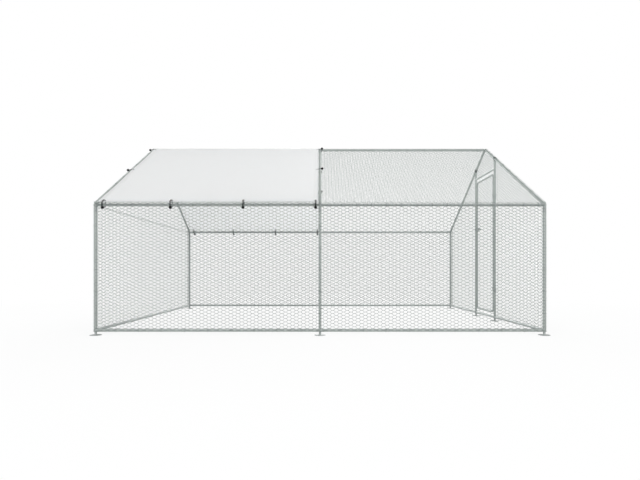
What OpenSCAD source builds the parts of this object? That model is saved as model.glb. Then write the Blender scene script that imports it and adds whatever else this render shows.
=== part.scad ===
// Walk-in chicken run: three tube portal frames under a pitched roof, hexagonal wire netting on
// every side, a fabric cover over the left half of the roof, and a netted door in the right gable.
// X runs along the ridge, the front wall faces -Y, and Z is up from the ground under the feet.

/* [Frame] */
// Length along the ridge, from end post centre to end post centre
run_length = 3900; // [2800:10:5000]
// Width from front post centre to back post centre
run_width = 2900; // [2300:10:3600]
// Height where the centre lines of a post and its rafter meet
eave_height = 1138; // [900:1:1500]
// Height where the centre lines of two rafters meet
apex_height = 1994; // [1980:1:2500]
// Height of the bottom rails' centre lines
rail_height = 44; // [40:1:70]

/* [Tube] */
// Outside diameter of the frame tube
tube_d = 25; // [20:0.5:32]
// Wall of the frame tube
tube_wall = 1; // [0.8:0.1:2]
// Wall of the connectors' spigots
spigot_wall = 1.1; // [0.8:0.1:2]
// Length of a spigot inside its tube
spigot_length = 50; // [35:1:80]
// Gap all round between a spigot and its tube, and between other pieces that seat on each other
fit_gap = 0.3; // [0.2:0.05:0.5]
// Bend radius of the elbows, to the centre line
bend_radius = 55; // [40:1:80]
// Distance from a connector's centre to the end of the tube on it
collar_length = 22; // [20:1:40]
// Eave elbow, from the corner of the centre lines down to the post
elbow_lower_leg = 70; // [60:1:120]
// Eave elbow, from the corner of the centre lines up to the rafter
elbow_upper_leg = 165; // [90:1:220]
// Ridge elbow, from the corner of the centre lines down to each rafter
ridge_leg = 100; // [80:1:160]

/* [Feet] */
// Diameter of a foot disc
foot_d = 100; // [70:1:110]
// Thickness of a foot disc
foot_t = 3; // [2:0.5:6]
// Wall of a foot's stem
foot_stem_wall = 1.5; // [1:0.1:3]

/* [Door] */
// Door post centre to door post centre
door_post_spacing = 620; // [500:5:800]
// Height of the lintel's centre line
lintel_height = 1700; // [1500:5:1720]
// Outside diameter of the leaf's tube
leaf_tube_d = 20; // [16:0.5:25]
// Wall of the leaf's tube
leaf_wall = 1; // [0.8:0.1:1.5]
// Gap between a leaf stile and its post
leaf_side_gap = 17.5; // [16:0.5:24]
// Gap between the leaf and the lintel
leaf_top_gap = 32; // [10:1:60]
// Gap between the leaf and the sill
leaf_bottom_gap = 33; // [10:1:60]
// Bend radius of the leaf's corners, to the centre line
leaf_bend_radius = 45; // [30:1:70]
// Heights of the hinges
hinge_heights = [340, 1390]; // [200:10:1500]
// Diameter of a hinge pin
hinge_pin_d = 8; // [6:0.5:10]
// Running gap all round a hinge pin
hinge_play = 0.1; // [0.05:0.01:0.1]
// Distance of the hinge axis out from the plane of the leaf
hinge_out = 16; // [15:0.5:20]
// Height of the latch
latch_height = 1070; // [800:5:1300]
// Diameter of the latch bolt
bolt_d = 8; // [6:0.5:10]
// How far the latch bolt slides into its keeper
bolt_travel = 38; // [34:1:42]

/* [Netting] */
// Thickness of a netting panel
net_t = 0.5; // [0.4:0.1:1.6]
// Distance from one opening to the next along a row, before they are fitted to their panel
net_pitch_x = 600; // [500:10:900]
// Distance from one row of openings to the next but one, before they are fitted
net_pitch_y = 300; // [250:10:500]
// Width of a strand between two openings
net_strand = 7; // [4:0.5:12]
// Width of the closed band round the edge of a panel
net_band = 30; // [20:1:60]
// Width of the closed band where ties go through a panel
net_tie_band = 56; // [54:1:90]
// How far the wall netting stands up past the eave
net_stand_up = 30; // [10:1:34]

/* [Cover and ties] */
// Thickness of the cover
cover_t = 1.5; // [0.8:0.1:3]
// Distance from the end frame's centre line in to the cover's left edge
cover_left_inset = 10; // [5:1:14]
// Distance from the middle frame's centre line back to the cover's right edge
cover_right_inset = 14; // [8:1:16]
// Distance up the slope from the eave corner to the cover's lower edge
cover_lower_inset = 5; // [2:1:14]
// Outside diameter of an eyelet
eyelet_d = 20; // [18:0.5:24]
// Hole through an eyelet
eyelet_hole_d = 11; // [9:0.5:14]
// Diameter of the elastic cord
cord_d = 4.4; // [3:0.1:6]
// Diameter of a tie's ball
ball_d = 27; // [20:1:30]
// Radius of a tie's loop round an eave rail
eave_loop = 44; // [42:1:50]
// Radius of a tie's loop round a rafter
rafter_loop = 36; // [34:0.5:36]
// Places of the ties along an eave, as shares of the way from the first to the last
eave_tie_shares = [0, 0.318, 0.659, 1]; // [0:0.001:1]
// Distance of the first eave tie from the end frame
first_tie_inset = 71; // [50:1:120]
// Distance of the last eave tie from the middle frame
last_tie_inset = 38; // [38:1:120]
// Place of the tie on a slope, as a share of the way up from the eave
slope_tie_share = 0.53; // [0.3:0.01:0.7]
// Distance down the slope from the apex to the ridge tie
ridge_tie_inset = 62; // [55:1:90]

/* [Screws] */
// Diameter of a frame screw
screw_d = 6; // [4:0.5:8]
// Width across the corners of a screw's head
screw_head_d = 11; // [9:0.5:13]
// Height of a screw's head
screw_head_h = 4; // [3:0.5:6]
// Length of a screw under its head
screw_length = 8; // [6:0.5:9]
// Distance of a screw from the end of its tube
screw_inset = 25; // [15:1:30]

/* [Hidden] */
$fn = 48;

tube_colour = [0.72, 0.75, 0.75];
fitting_colour = [0.64, 0.67, 0.67];
net_colour = [0.55, 0.6, 0.58];
cover_colour = [0.92, 0.93, 0.94];
black = [0.06, 0.06, 0.06];

// Frame
front = -1;
back = 1;
half_l = run_length / 2;
half_w = run_width / 2;
tube_r = tube_d / 2;
pitch = atan2(apex_height - eave_height, half_w);
slope_length = half_w / cos(pitch);
eave_turn = 90 - pitch;
ridge_turn = 2 * pitch;
eave_tangent = bend_radius * tan(eave_turn / 2);
ridge_tangent = bend_radius * tan(ridge_turn / 2);
ridge_arc_z = apex_height - bend_radius / cos(pitch);
ridge_z = ridge_arc_z + bend_radius;
// The middle of the eave elbow's arc carries the eave rail
eave_arc_y = half_w - bend_radius;
eave_arc_z = eave_height - eave_tangent;
eave_rail_y = eave_arc_y + bend_radius * cos(eave_turn / 2);
eave_rail_z = eave_arc_z + bend_radius * sin(eave_turn / 2);

// Connectors
spigot_d = tube_d - 2 * tube_wall - 2 * fit_gap;
spigot_bore = spigot_d - 2 * spigot_wall;
// A bend is a little slimmer than its legs and laps into them, and an arm is slimmer again
bend_lap = 4;
bend_step = 0.4;
arm_d = tube_d - 2 * bend_step;
arm_root = tube_r + 3;
connector_foot = tube_r + 3.5;
screw_hole_d = screw_d + 2 * fit_gap;
// Gap under the head of a screw or rivet
head_gap = 0.1;
post_top = eave_height - elbow_lower_leg;
post_bottom = rail_height + collar_length;
// The swaged end of a rail narrows over this length
swage_length = 10;
swage_lap = 2;

// Feet
foot_stem_d = spigot_bore - 2 * fit_gap;
foot_stem_top = rail_height + 10;
foot_boss_d = foot_stem_d + 7;
foot_boss_h = 3;

// Door
door_post_y = door_post_spacing / 2;
rafter_z_at_post = apex_height - door_post_y * tan(pitch);
clamp_d = tube_d + 8;
clamp_length = 30;
clamp_reach = clamp_d / 2 / cos(pitch) + tube_r * tan(pitch) + 2;
door_post_top = rafter_z_at_post - clamp_reach;
leaf_r = leaf_tube_d / 2;
leaf_y = door_post_y - tube_r - leaf_side_gap - leaf_r;
leaf_top = lintel_height - tube_r - leaf_top_gap - leaf_r;
leaf_bottom = rail_height + tube_r + leaf_bottom_gap + leaf_r;
leaf_spigot_d = leaf_tube_d - 2 * leaf_wall - 2 * fit_gap;
leaf_spigot_bore = leaf_spigot_d - 2 * leaf_wall;
leaf_leg = leaf_bend_radius + 20;
leaf_spigot_length = 35;
rivet_d = 4;
rivet_head_d = 8;
rivet_head_h = 1.5;
rivet_length = 5;
rivet_inset = 18;
plug_length = 40;
plug_gap = 4;
lintel_bolt_length = tube_d + 20;
hinge_x = half_l + hinge_out;
hinge_y = -(leaf_y + leaf_r + leaf_side_gap / 2);
strap_wall = 2.7;
strap_h = 30;
knuckle_d = hinge_pin_d + 7;
knuckle_h = 24;
bracket_h = 8;
hinge_pin_stand = 6;
arm_step = 1;
// The bolt runs this far outside the leaf's tube, in two guides
bolt_out = 10.5;
latch_x = half_l + leaf_r + bolt_out;
latch_plate_t = 3;
latch_plate_x = half_l + leaf_r + 1;
latch_plate_h = 28;
latch_plate_inner = 54;
latch_plate_outer = 23;
latch_ends = [leaf_y - latch_plate_inner, leaf_y + latch_plate_outer];
guide_w = 8;
guide_h = bolt_d + 8;
bolt_tail_stand = 6;
bolt_tail = latch_ends[0] - bolt_tail_stand;
knob_gap = 8;
knob_y = latch_ends[0] + guide_w + knob_gap;
knob_d = 6;
knob_reach = 18;
keeper_w = 20;
keeper_y = door_post_y - 6;
keeper_hole_d = bolt_d + 5;
keeper_h = keeper_hole_d + 9;
// Slid out, the bolt reaches past its keeper
bolt_past_keeper = 7;
bolt_nose = keeper_y + keeper_w + bolt_past_keeper - bolt_travel;

// Netting lies on the outside of the tubes
net_offset = tube_r + fit_gap;
net_top = net_offset + net_t;
net_bottom = rail_height - tube_r;
ridge_net_gap = 2;
// The gable netting stops short of the clamps on the door posts
net_at_door = door_post_y + clamp_d / 2 + 7;
net_over_door = door_post_y - clamp_d / 2 - 7;
// The leaf's netting is cut out round what is strapped on the stiles
strap_room = 1;

// Cover and ties
cover_under = net_top + fit_gap;
cover_top = cover_under + cover_t;
eyelet_t = cover_t + 1;
tie_plane = cover_under + eyelet_t / 2;
cord_slack = 1.4;
eyelet_play = eyelet_hole_d / 2 - cord_d / 2 - cord_slack;
// The balls lie clear of the netting
ball_lift = net_top + ball_d / 2 + 1;
eave_ball_angle = 180 - pitch + acos((half_w + ball_lift - eave_rail_y) / eave_loop);
end_ball_angle = 163;
middle_ball_angle = 180 - asin(ball_lift / rafter_loop);
slot_play = 2;
ball_gap = 0.6;

function unit(v) = v / norm(v);
function up_slope(side) = [0, -side * cos(pitch), sin(pitch)];
function roof_normal(side) = [0, side * sin(pitch), cos(pitch)];
function on_rafter(x, side, s, out = 0) =
    [x, side * half_w, eave_height] + s * up_slope(side) + out * roof_normal(side);

// Frame tubes, each as its two ends and the side that its screws enter from
function post(x, side) =
    [[x, side * half_w, post_bottom], [x, side * half_w, post_top], [0, -side, 0]];
function rafter(x, side) =
    [on_rafter(x, side, elbow_upper_leg), on_rafter(x, side, slope_length - ridge_leg),
     -roof_normal(side)];
function long_rail(end, side, y, z) =
    [[end * (half_l - collar_length), side * y, z], [end * collar_length, side * y, z],
     [0, -side, 0]];
function bottom_rail(end, side) = long_rail(end, side, half_w, rail_height);
function eave_rail(end, side) = long_rail(end, side, eave_rail_y, eave_rail_z);
function ridge_tube(end) =
    [[end * (half_l - collar_length), 0, ridge_z], [end * collar_length, 0, ridge_z], [0, 0, -1]];
function gable_rail(end, side, inner_y) =
    [[end * half_l, side * (half_w - collar_length), rail_height],
     [end * half_l, side * inner_y, rail_height], [-end, 0, 0]];
function door_side_rail(side) = gable_rail(1, side, door_post_y + collar_length);
function sill() =
    [[half_l, collar_length - door_post_y, rail_height],
     [half_l, door_post_y - collar_length, rail_height], [-1, 0, 0]];
function door_post(side) =
    [[half_l, side * door_post_y, post_bottom], [half_l, side * door_post_y, door_post_top],
     [-1, 0, 0]];

sides = [front, back];
ends = [-1, 1];
screwed_tubes = concat(
    [for (x = [-half_l, 0, half_l], s = sides) post(x, s)],
    [for (x = [-half_l, 0, half_l], s = sides) rafter(x, s)],
    [for (e = ends, s = sides) bottom_rail(e, s)],
    [for (e = ends, s = sides) eave_rail(e, s)],
    [for (e = ends) ridge_tube(e)],
    [gable_rail(-1, back, 0), sill()],
    [for (s = sides) door_side_rail(s)],
    [for (s = sides) door_post(s)]);

// Ties, each as centre, direction to the eyelet, direction off the cover, loop radius,
// distance from the centre to the eyelet's middle plane, and the angle of its ball
eave_rail_out = (half_w - eave_rail_y) * -sin(pitch) + (eave_rail_z - eave_height) * cos(pitch);
tie_start = -half_l + first_tie_inset;
tie_span = half_l - first_tie_inset - last_tie_inset;
function eave_tie(side, share) =
    [[tie_start + share * tie_span, side * eave_rail_y, eave_rail_z],
     up_slope(side), roof_normal(side), eave_loop, tie_plane - eave_rail_out, eave_ball_angle];
function rafter_tie(x, side, s, to_cover) =
    [on_rafter(x, side, s), [to_cover, 0, 0], roof_normal(side), rafter_loop, tie_plane,
     x < 0 ? end_ball_angle : middle_ball_angle];
eave_ties = [for (s = sides, share = eave_tie_shares) eave_tie(s, share)];
slope_ties = [for (x = [-half_l, 0], s = sides)
    rafter_tie(x, s, slope_tie_share * slope_length, x < 0 ? 1 : -1)];
ridge_ties = [for (x = [-half_l, 0])
    rafter_tie(x, front, slope_length - ridge_tie_inset, x < 0 ? 1 : -1)];
ties = concat(eave_ties, slope_ties, ridge_ties);
function eyelet_reach(t) = sqrt(t[3] * t[3] - t[4] * t[4]) + eyelet_play;

// Stands local Z on the line through p along d, with local X along n
module on_axis(p, d, n) {
    w = cross(d, n);
    multmatrix([[n.x, w.x, d.x, p.x], [n.y, w.y, d.y, p.y], [n.z, w.z, d.z, p.z]]) children();
}

module side_hole(z, d, reach) {
    translate([0, 0, z]) rotate([0, 90, 0]) cylinder(d = d, h = reach);
}

// A hollow tube between two points, with a screw hole near the ends that are asked for
module frame_tube(t, d = tube_d, wall = tube_wall, hole = screw_hole_d, inset = screw_inset,
        holes = [true, true]) {
    length = norm(t[1] - t[0]);
    color(tube_colour) on_axis(t[0], unit(t[1] - t[0]), t[2]) difference() {
        cylinder(d = d, h = length);
        translate([0, 0, -1]) cylinder(d = d - 2 * wall, h = length + 2);
        if (holes[0]) side_hole(inset, hole, d);
        if (holes[1]) side_hole(length - inset, hole, d);
    }
}

// Connector arms: a straight stretch flush with the tubes, then the spigot
module leg_outside(straight, d = tube_d, spigot = spigot_d, reach = spigot_length) {
    cylinder(d = d, h = straight);
    cylinder(d = spigot, h = straight + reach);
}

module leg_bore(straight, root = 0, bore = spigot_bore, reach = spigot_length,
        hole = screw_hole_d, inset = screw_inset) {
    translate([0, 0, root]) cylinder(d = bore, h = straight + reach - root + 1);
    side_hole(straight + inset, hole, spigot_d);
}

// A bend, a little slimmer than its legs and lapped into them
module bend(turn, radius, d) {
    rotate([0, 0, -bend_lap]) rotate_extrude(angle = turn + 2 * bend_lap)
        translate([radius, 0]) circle(d = d - bend_step);
}

// An elbow about its arc's centre. It comes in along +Y at [radius, 0, 0] and turns towards -X.
// Arms along Z leave the middle of its arc.
module frame_elbow(turn, leg_a, leg_b, arms, arm_side) {
    middle = bend_radius * [cos(turn / 2), sin(turn / 2), 0];
    finish = bend_radius * [cos(turn), sin(turn), 0];
    onward = [-sin(turn), cos(turn), 0];
    color(fitting_colour) difference() {
        union() {
            bend(turn, bend_radius, tube_d);
            on_axis([bend_radius, 0, 0], [0, -1, 0], [-1, 0, 0]) leg_outside(leg_a);
            on_axis(finish, onward, -unit(finish)) leg_outside(leg_b);
            for (z = arms) on_axis(middle, [0, 0, z], arm_side) leg_outside(collar_length, arm_d);
        }
        bend(turn, bend_radius, spigot_bore);
        on_axis([bend_radius, 0, 0], [0, -1, 0], [-1, 0, 0]) leg_bore(leg_a);
        on_axis(finish, onward, -unit(finish)) leg_bore(leg_b);
        for (z = arms) on_axis(middle, [0, 0, z], arm_side) leg_bore(collar_length, arm_root);
    }
}

module eave_elbow(x, side, arms) {
    multmatrix([[0, 0, side, x], [side, 0, 0, side * eave_arc_y], [0, 1, 0, eave_arc_z]])
        frame_elbow(eave_turn, elbow_lower_leg - eave_tangent, elbow_upper_leg - eave_tangent,
            [for (a = arms) a * side], [-1, 0, 0]);
}

module ridge_elbow(x, arms) {
    leg = ridge_leg - ridge_tangent;
    multmatrix([[0, 0, -1, x], [-sin(pitch), cos(pitch), 0, 0],
            [cos(pitch), sin(pitch), 0, ridge_arc_z]])
        frame_elbow(ridge_turn, leg, leg, [for (a = arms) -a],
            -[cos(ridge_turn / 2), sin(ridge_turn / 2), 0]);
}

// A base connector: a foot's socket, a spigot for the post and an arm for each rail
module base_connector(p, post_side, arms) {
    color(fitting_colour) translate(p) difference() {
        union() {
            translate([0, 0, -connector_foot]) cylinder(d = tube_d, h = connector_foot);
            on_axis([0, 0, 0], [0, 0, 1], post_side) leg_outside(collar_length);
            for (a = arms) on_axis([0, 0, 0], a[0], a[1]) leg_outside(collar_length, arm_d);
        }
        on_axis([0, 0, 0], [0, 0, 1], post_side) leg_bore(collar_length, -connector_foot - 1);
        for (a = arms) on_axis([0, 0, 0], a[0], a[1]) leg_bore(collar_length, arm_root);
    }
}

module base_corner_connectors() {
    for (e = ends, s = sides)
        base_connector([e * half_l, s * half_w, rail_height], [0, -s, 0],
            [[[-e, 0, 0], [0, -s, 0]], [[0, -s, 0], [-e, 0, 0]]]);
}

module base_centre_connectors() {
    for (s = sides)
        base_connector([0, s * half_w, rail_height], [0, -s, 0],
            [[[1, 0, 0], [0, -s, 0]], [[-1, 0, 0], [0, -s, 0]]]);
}

module door_post_tees() {
    for (s = sides)
        base_connector([half_l, s * door_post_y, rail_height], [-1, 0, 0],
            [[[0, 1, 0], [-1, 0, 0]], [[0, -1, 0], [-1, 0, 0]]]);
}

module eave_corner_elbows() {
    for (e = ends, s = sides) eave_elbow(e * half_l, s, [-e]);
}

module eave_centre_elbows() {
    for (s = sides) eave_elbow(0, s, ends);
}

module ridge_end_elbows() {
    for (e = ends) ridge_elbow(e * half_l, [-e]);
}

module ridge_centre_elbow() {
    ridge_elbow(0, ends);
}

module front_left_post() frame_tube(post(-half_l, front));
module front_centre_post() frame_tube(post(0, front));
module front_right_post() frame_tube(post(half_l, front));
module back_left_post() frame_tube(post(-half_l, back));
module back_centre_post() frame_tube(post(0, back));
module back_right_post() frame_tube(post(half_l, back));
module front_left_bottom_rail() frame_tube(bottom_rail(-1, front));
module front_right_bottom_rail() frame_tube(bottom_rail(1, front));
module back_left_bottom_rail() frame_tube(bottom_rail(-1, back));
module back_right_bottom_rail() frame_tube(bottom_rail(1, back));
module left_gable_back_rail() frame_tube(gable_rail(-1, back, 0));
module right_gable_front_rail() frame_tube(door_side_rail(front));
module right_gable_back_rail() frame_tube(door_side_rail(back));
module door_sill() frame_tube(sill());
module front_left_eave_rail() frame_tube(eave_rail(-1, front));
module front_right_eave_rail() frame_tube(eave_rail(1, front));
module back_left_eave_rail() frame_tube(eave_rail(-1, back));
module back_right_eave_rail() frame_tube(eave_rail(1, back));
module ridge_tubes() for (e = ends) frame_tube(ridge_tube(e));
module left_rafters() for (s = sides) frame_tube(rafter(-half_l, s));
module centre_rafters() for (s = sides) frame_tube(rafter(0, s));
module right_rafters() for (s = sides) frame_tube(rafter(half_l, s));
module hinge_post() door_post_tube(front);
module latch_post() door_post_tube(back);

// A door post is drilled through for the lintel's bolt
module door_post_tube(side) {
    difference() {
        frame_tube(door_post(side));
        translate([half_l, side * door_post_y, lintel_height]) rotate([90, 0, 0])
            cylinder(d = screw_hole_d, h = 2 * tube_d, center = true);
    }
}

// The left gable's front rail ends in a swaged spigot that enters the back rail
module left_gable_front_rail() {
    t = gable_rail(-1, front, 0);
    length = norm(t[1] - t[0]);
    color(tube_colour) on_axis(t[0], [0, 1, 0], t[2]) difference() {
        union() {
            cylinder(d = tube_d, h = length);
            translate([0, 0, length - 1]) cylinder(d = spigot_d, h = spigot_length + 1);
        }
        translate([0, 0, -1])
            cylinder(d = tube_d - 2 * tube_wall, h = length - swage_length);
        translate([0, 0, length - swage_length - swage_lap])
            cylinder(d = spigot_bore, h = spigot_length + swage_length + swage_lap + 1);
        side_hole(screw_inset, screw_hole_d, tube_d);
        side_hole(length + screw_inset, screw_hole_d, tube_d);
    }
}

module door_lintel() {
    reach = door_post_y;
    color(tube_colour) translate([half_l, 0, lintel_height]) rotate([90, 0, 0]) difference() {
        cylinder(d = tube_d, h = 2 * reach, center = true);
        cylinder(d = tube_d - 2 * tube_wall, h = 2 * reach + 2, center = true);
        for (s = sides) translate([0, 0, s * reach]) rotate([90, 0, 0])
            cylinder(d = tube_d + 2 * fit_gap, h = 2 * tube_d, center = true);
    }
}

module lintel_plugs() {
    for (s = sides)
        color(fitting_colour) on_axis([half_l, s * (door_post_y - tube_r - plug_gap), lintel_height],
                [0, -s, 0], [1, 0, 0]) difference() {
            cylinder(d = spigot_d, h = plug_length);
            translate([0, 0, -1]) cylinder(d = screw_hole_d, h = plug_length + 2);
        }
}

// A saddle round the rafter on top of each door post
module door_post_clamps() {
    for (s = sides) {
        color(fitting_colour) translate([half_l, s * door_post_y, rafter_z_at_post]) difference() {
            union() {
                on_axis(-clamp_length / 2 * up_slope(s), up_slope(s), [1, 0, 0])
                    cylinder(d = clamp_d, h = clamp_length);
                on_axis([0, 0, 0], [0, 0, -1], [-1, 0, 0]) leg_outside(clamp_reach);
            }
            on_axis(-clamp_length * up_slope(s), up_slope(s), [1, 0, 0])
                cylinder(d = tube_d + 2 * fit_gap, h = 2 * clamp_length);
            on_axis([0, 0, 0], [0, 0, -1], [-1, 0, 0]) leg_bore(clamp_reach, clamp_reach);
        }
    }
}

module foot(p) {
    stem_r = foot_stem_d / 2;
    color(fitting_colour) translate(p) rotate_extrude() polygon([
        [0, 0], [foot_d / 2, 0], [foot_d / 2, foot_t], [foot_boss_d / 2, foot_t],
        [stem_r, foot_t + foot_boss_h], [stem_r, foot_stem_top],
        [stem_r - foot_stem_wall, foot_stem_top], [stem_r - foot_stem_wall, foot_t], [0, foot_t]]);
}

module ground_feet() {
    for (x = [-half_l, 0, half_l], s = sides) foot([x, s * half_w, 0]);
    for (s = sides) foot([half_l, s * door_post_y, 0]);
}

// A hex head screw on a tube's surface at p, standing out along n
module frame_screw(p, n, along, length = screw_length) {
    on_axis(p, n, along) {
        cylinder(d = screw_head_d, h = screw_head_h, $fn = 6);
        translate([0, 0, -length]) cylinder(d = screw_d, h = length + 1);
    }
}

module frame_screws() {
    color(fitting_colour) {
        for (t = screwed_tubes, end = [0, 1]) {
            along = unit(t[1] - t[0]);
            at = end == 0 ? t[0] + screw_inset * along : t[1] - screw_inset * along;
            frame_screw(at + (tube_r + head_gap) * t[2], t[2], along);
        }
        left = gable_rail(-1, front, 0);
        frame_screw(left[0] + [tube_r + head_gap, screw_inset, 0], left[2], [0, 1, 0]);
        for (s = sides)
            frame_screw([half_l, s * (door_post_y + tube_r + head_gap), lintel_height],
                [0, s, 0], [0, 0, 1], lintel_bolt_length);
    }
}

// Distance of p inside the edge from a to b of an outline that runs anticlockwise
function inside_edge(a, b, p) =
    let (d = unit(b - a)) d.x * (p.y - a.y) - d.y * (p.x - a.x);
function depth(outline, p) =
    min([for (i = [0 : len(outline) - 1])
        inside_edge(outline[i], outline[(i + 1) % len(outline)], p)]);
function rectangle(low, high) = [low, [high.x, low.y], high, [low.x, high.y]];
function hexagon(c, px, py) =
    [for (k = [[2, 0], [1, 1], [-1, 1], [-2, 0], [-1, -1], [1, -1]])
        c + [k.x * (px / 6 - net_strand / 4), k.y * (py - net_strand) / 2]];

// A flat panel of netting. Its openings are fitted to the rectangle from low to high, and kept
// inside the outline called room.
module net_panel(outline, low, high, room) {
    size = high - low;
    columns = max(1, round(size.x / net_pitch_x + 1 / 3));
    rows = max(1, round(size.y / net_pitch_y));
    px = size.x / (columns - 1 / 3);
    py = size.y / rows;
    color(net_colour) linear_extrude(net_t) difference() {
        polygon(outline);
        for (i = [0 : 0.5 : columns - 1], j = [0 : 0.5 : rows - 1]) {
            cell = hexagon(low + [(i + 1 / 3) * px, (j + 1 / 2) * py], px, py);
            // Whole steps and half steps each make their own rows
            paired = (i == floor(i)) == (j == floor(j));
            if (paired && min([for (p = cell) depth(room, p)]) > -0.01) polygon(cell);
        }
    }
}

// Room for a tie's loop
module tie_slots(list) {
    for (t = list)
        on_axis(t[0], unit(cross(t[1], t[2])), t[1])
            cylinder(r = t[3] + cord_d / 2 + slot_play, h = cord_d + 2 * slot_play, center = true);
}

module clamp_room() {
    for (s = sides)
        on_axis([half_l, s * door_post_y, rafter_z_at_post], up_slope(s), [1, 0, 0])
            cube([clamp_d + slot_play, clamp_d + slot_play, clamp_length + slot_play],
                center = true);
}

module wall_net(side) {
    top = eave_height + net_stand_up;
    reach = half_l + tube_r;
    // The ties go through below the eave rail too
    under_ties = top - eave_rail_z + eave_loop + net_band / 2;
    difference() {
        translate([0, side * net_offset + side * half_w, 0]) rotate([90, 0, 0])
            translate([0, 0, side > 0 ? -net_t : 0])
                for (e = ends) {
                    left = min(0, e * reach);
                    low = [left + net_band, net_bottom + net_band];
                    high = [left + reach - net_band, top - under_ties];
                    net_panel(rectangle([left, net_bottom], [left + reach, top]), low, high,
                        rectangle(low, high));
                }
        tie_slots([for (t = eave_ties) if (t[0].y * side > 0) t]);
    }
}

module front_wall_net() wall_net(front);
module back_wall_net() wall_net(back);

module roof_net(side) {
    top = slope_length - ridge_tangent - ridge_net_gap;
    reach = half_l + tube_r;
    start = on_rafter(0, side, 0, net_offset);
    difference() {
        multmatrix([[1, 0, 0, 0], [0, -side * cos(pitch), side * sin(pitch), start.y],
                [0, sin(pitch), cos(pitch), start.z]])
            for (e = ends) {
                left = min(0, e * reach);
                low = [left + net_tie_band, net_tie_band];
                high = [left + reach - net_tie_band, top - net_band];
                net_panel(rectangle([left, 0], [left + reach, top]), low, high,
                    rectangle(low, high));
            }
        tie_slots([for (t = ties) if (t[0].y * side > 0) t]);
        clamp_room();
    }
}

module front_roof_net() roof_net(front);
module back_roof_net() roof_net(back);

// Stands a panel drawn in Y and Z on the outside of an end frame
module on_gable(end) {
    translate([end > 0 ? half_l + net_offset : -half_l - net_top, 0, 0])
        rotate([90, 0, 90]) children();
}

function under_rafter(y, down = 0) = [y, apex_height - abs(y) * tan(pitch) - down / cos(pitch)];

module left_gable_net() {
    reach = half_w + tube_r;
    inner = reach - net_band;
    low = net_bottom + net_band;
    outline = [[-reach, net_bottom], [reach, net_bottom], under_rafter(reach),
        under_rafter(0), under_rafter(-reach)];
    room = [[-inner, low], [inner, low], under_rafter(inner, net_tie_band),
        under_rafter(0, net_tie_band), under_rafter(-inner, net_tie_band)];
    difference() {
        on_gable(-1) net_panel(outline, [-inner, low], [inner, room[3].y], room);
        tie_slots([for (t = slope_ties) if (t[0].x < 0) t]);
        tie_slots([for (t = ridge_ties) if (t[0].x < 0) t]);
    }
}

module right_gable_side_net(side) {
    reach = half_w + tube_r;
    near = side > 0 ? net_at_door : -reach;
    far = side > 0 ? reach : -net_at_door;
    low = net_bottom + net_band;
    outline = [[near, net_bottom], [far, net_bottom], under_rafter(far), under_rafter(near)];
    room = [[near + net_band, low], [far - net_band, low],
        under_rafter(far - net_band, net_band), under_rafter(near + net_band, net_band)];
    on_gable(1) net_panel(outline, room[0], [room[1].x, max(room[2].y, room[3].y)], room);
}

module right_gable_front_net() right_gable_side_net(front);
module right_gable_back_net() right_gable_side_net(back);

module door_header_net() {
    w = net_over_door;
    in = w - net_band;
    low = lintel_height + tube_r;
    outline = [[-w, lintel_height], [w, lintel_height], under_rafter(w), under_rafter(0),
        under_rafter(-w)];
    room = [[-in, low], [in, low], under_rafter(in, net_band), under_rafter(0, net_band),
        under_rafter(-in, net_band)];
    on_gable(1) net_panel(outline, [-in, low], [in, room[2].y], room);
}

// The cover's section: up the front slope, round the ridge and down the back slope
ridge_steps = 12;
function cover_line(out) = concat(
    [on_rafter(0, front, cover_lower_inset, out)],
    [for (i = [0 : ridge_steps]) let (a = 90 + pitch - i * ridge_turn / ridge_steps)
        [0, (bend_radius + out) * cos(a), ridge_arc_z + (bend_radius + out) * sin(a)]],
    [on_rafter(0, back, cover_lower_inset, out)]);
function reversed(list) = [for (i = [len(list) - 1 : -1 : 0]) list[i]];

module at_eyelet(t) {
    on_axis(t[0] + eyelet_reach(t) * t[1] + (t[4] - eyelet_t / 2) * t[2], t[2],
        t[1]) children();
}

module roof_cover() {
    section = [for (p = concat(cover_line(cover_under), reversed(cover_line(cover_top))))
        [p.y, p.z]];
    color(cover_colour) difference() {
        translate([-half_l + cover_left_inset, 0, 0]) rotate([90, 0, 90])
            linear_extrude(half_l - cover_left_inset - cover_right_inset) polygon(section);
        for (t = ties) at_eyelet(t)
            translate([0, 0, -1]) cylinder(d = eyelet_d + 2 * fit_gap, h = eyelet_t + 2);
    }
}

module cover_eyelets() {
    color(fitting_colour) for (t = ties) at_eyelet(t) difference() {
        cylinder(d = eyelet_d, h = eyelet_t);
        translate([0, 0, -1]) cylinder(d = eyelet_hole_d, h = eyelet_t + 2);
    }
}

module in_loop(t) {
    on_axis(t[0], cross(t[1], t[2]), t[1]) children();
}

module tie_cords() {
    color(black) for (t = ties) in_loop(t) {
        clear = 2 * asin((ball_d / 2 + ball_gap) / 2 / t[3]);
        rotate([0, 0, t[5] + clear])
            rotate_extrude(angle = 360 - 2 * clear) translate([t[3], 0]) circle(d = cord_d);
    }
}

module tie_balls() {
    color(black) for (t = ties) in_loop(t)
        rotate([0, 0, t[5]]) translate([t[3], 0, 0]) sphere(d = ball_d);
}

// A strap round a tube, an arm to a point beside it, and what is on the arm's end
module strap(d, h) {
    cylinder(d = d + 2 * fit_gap + 2 * strap_wall, h = h, center = true);
}

module arm_to(v, w, h) {
    rotate([0, 0, atan2(v.y, v.x)]) translate([0, -w / 2, 0]) cube([norm(v), w, h]);
}

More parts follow.
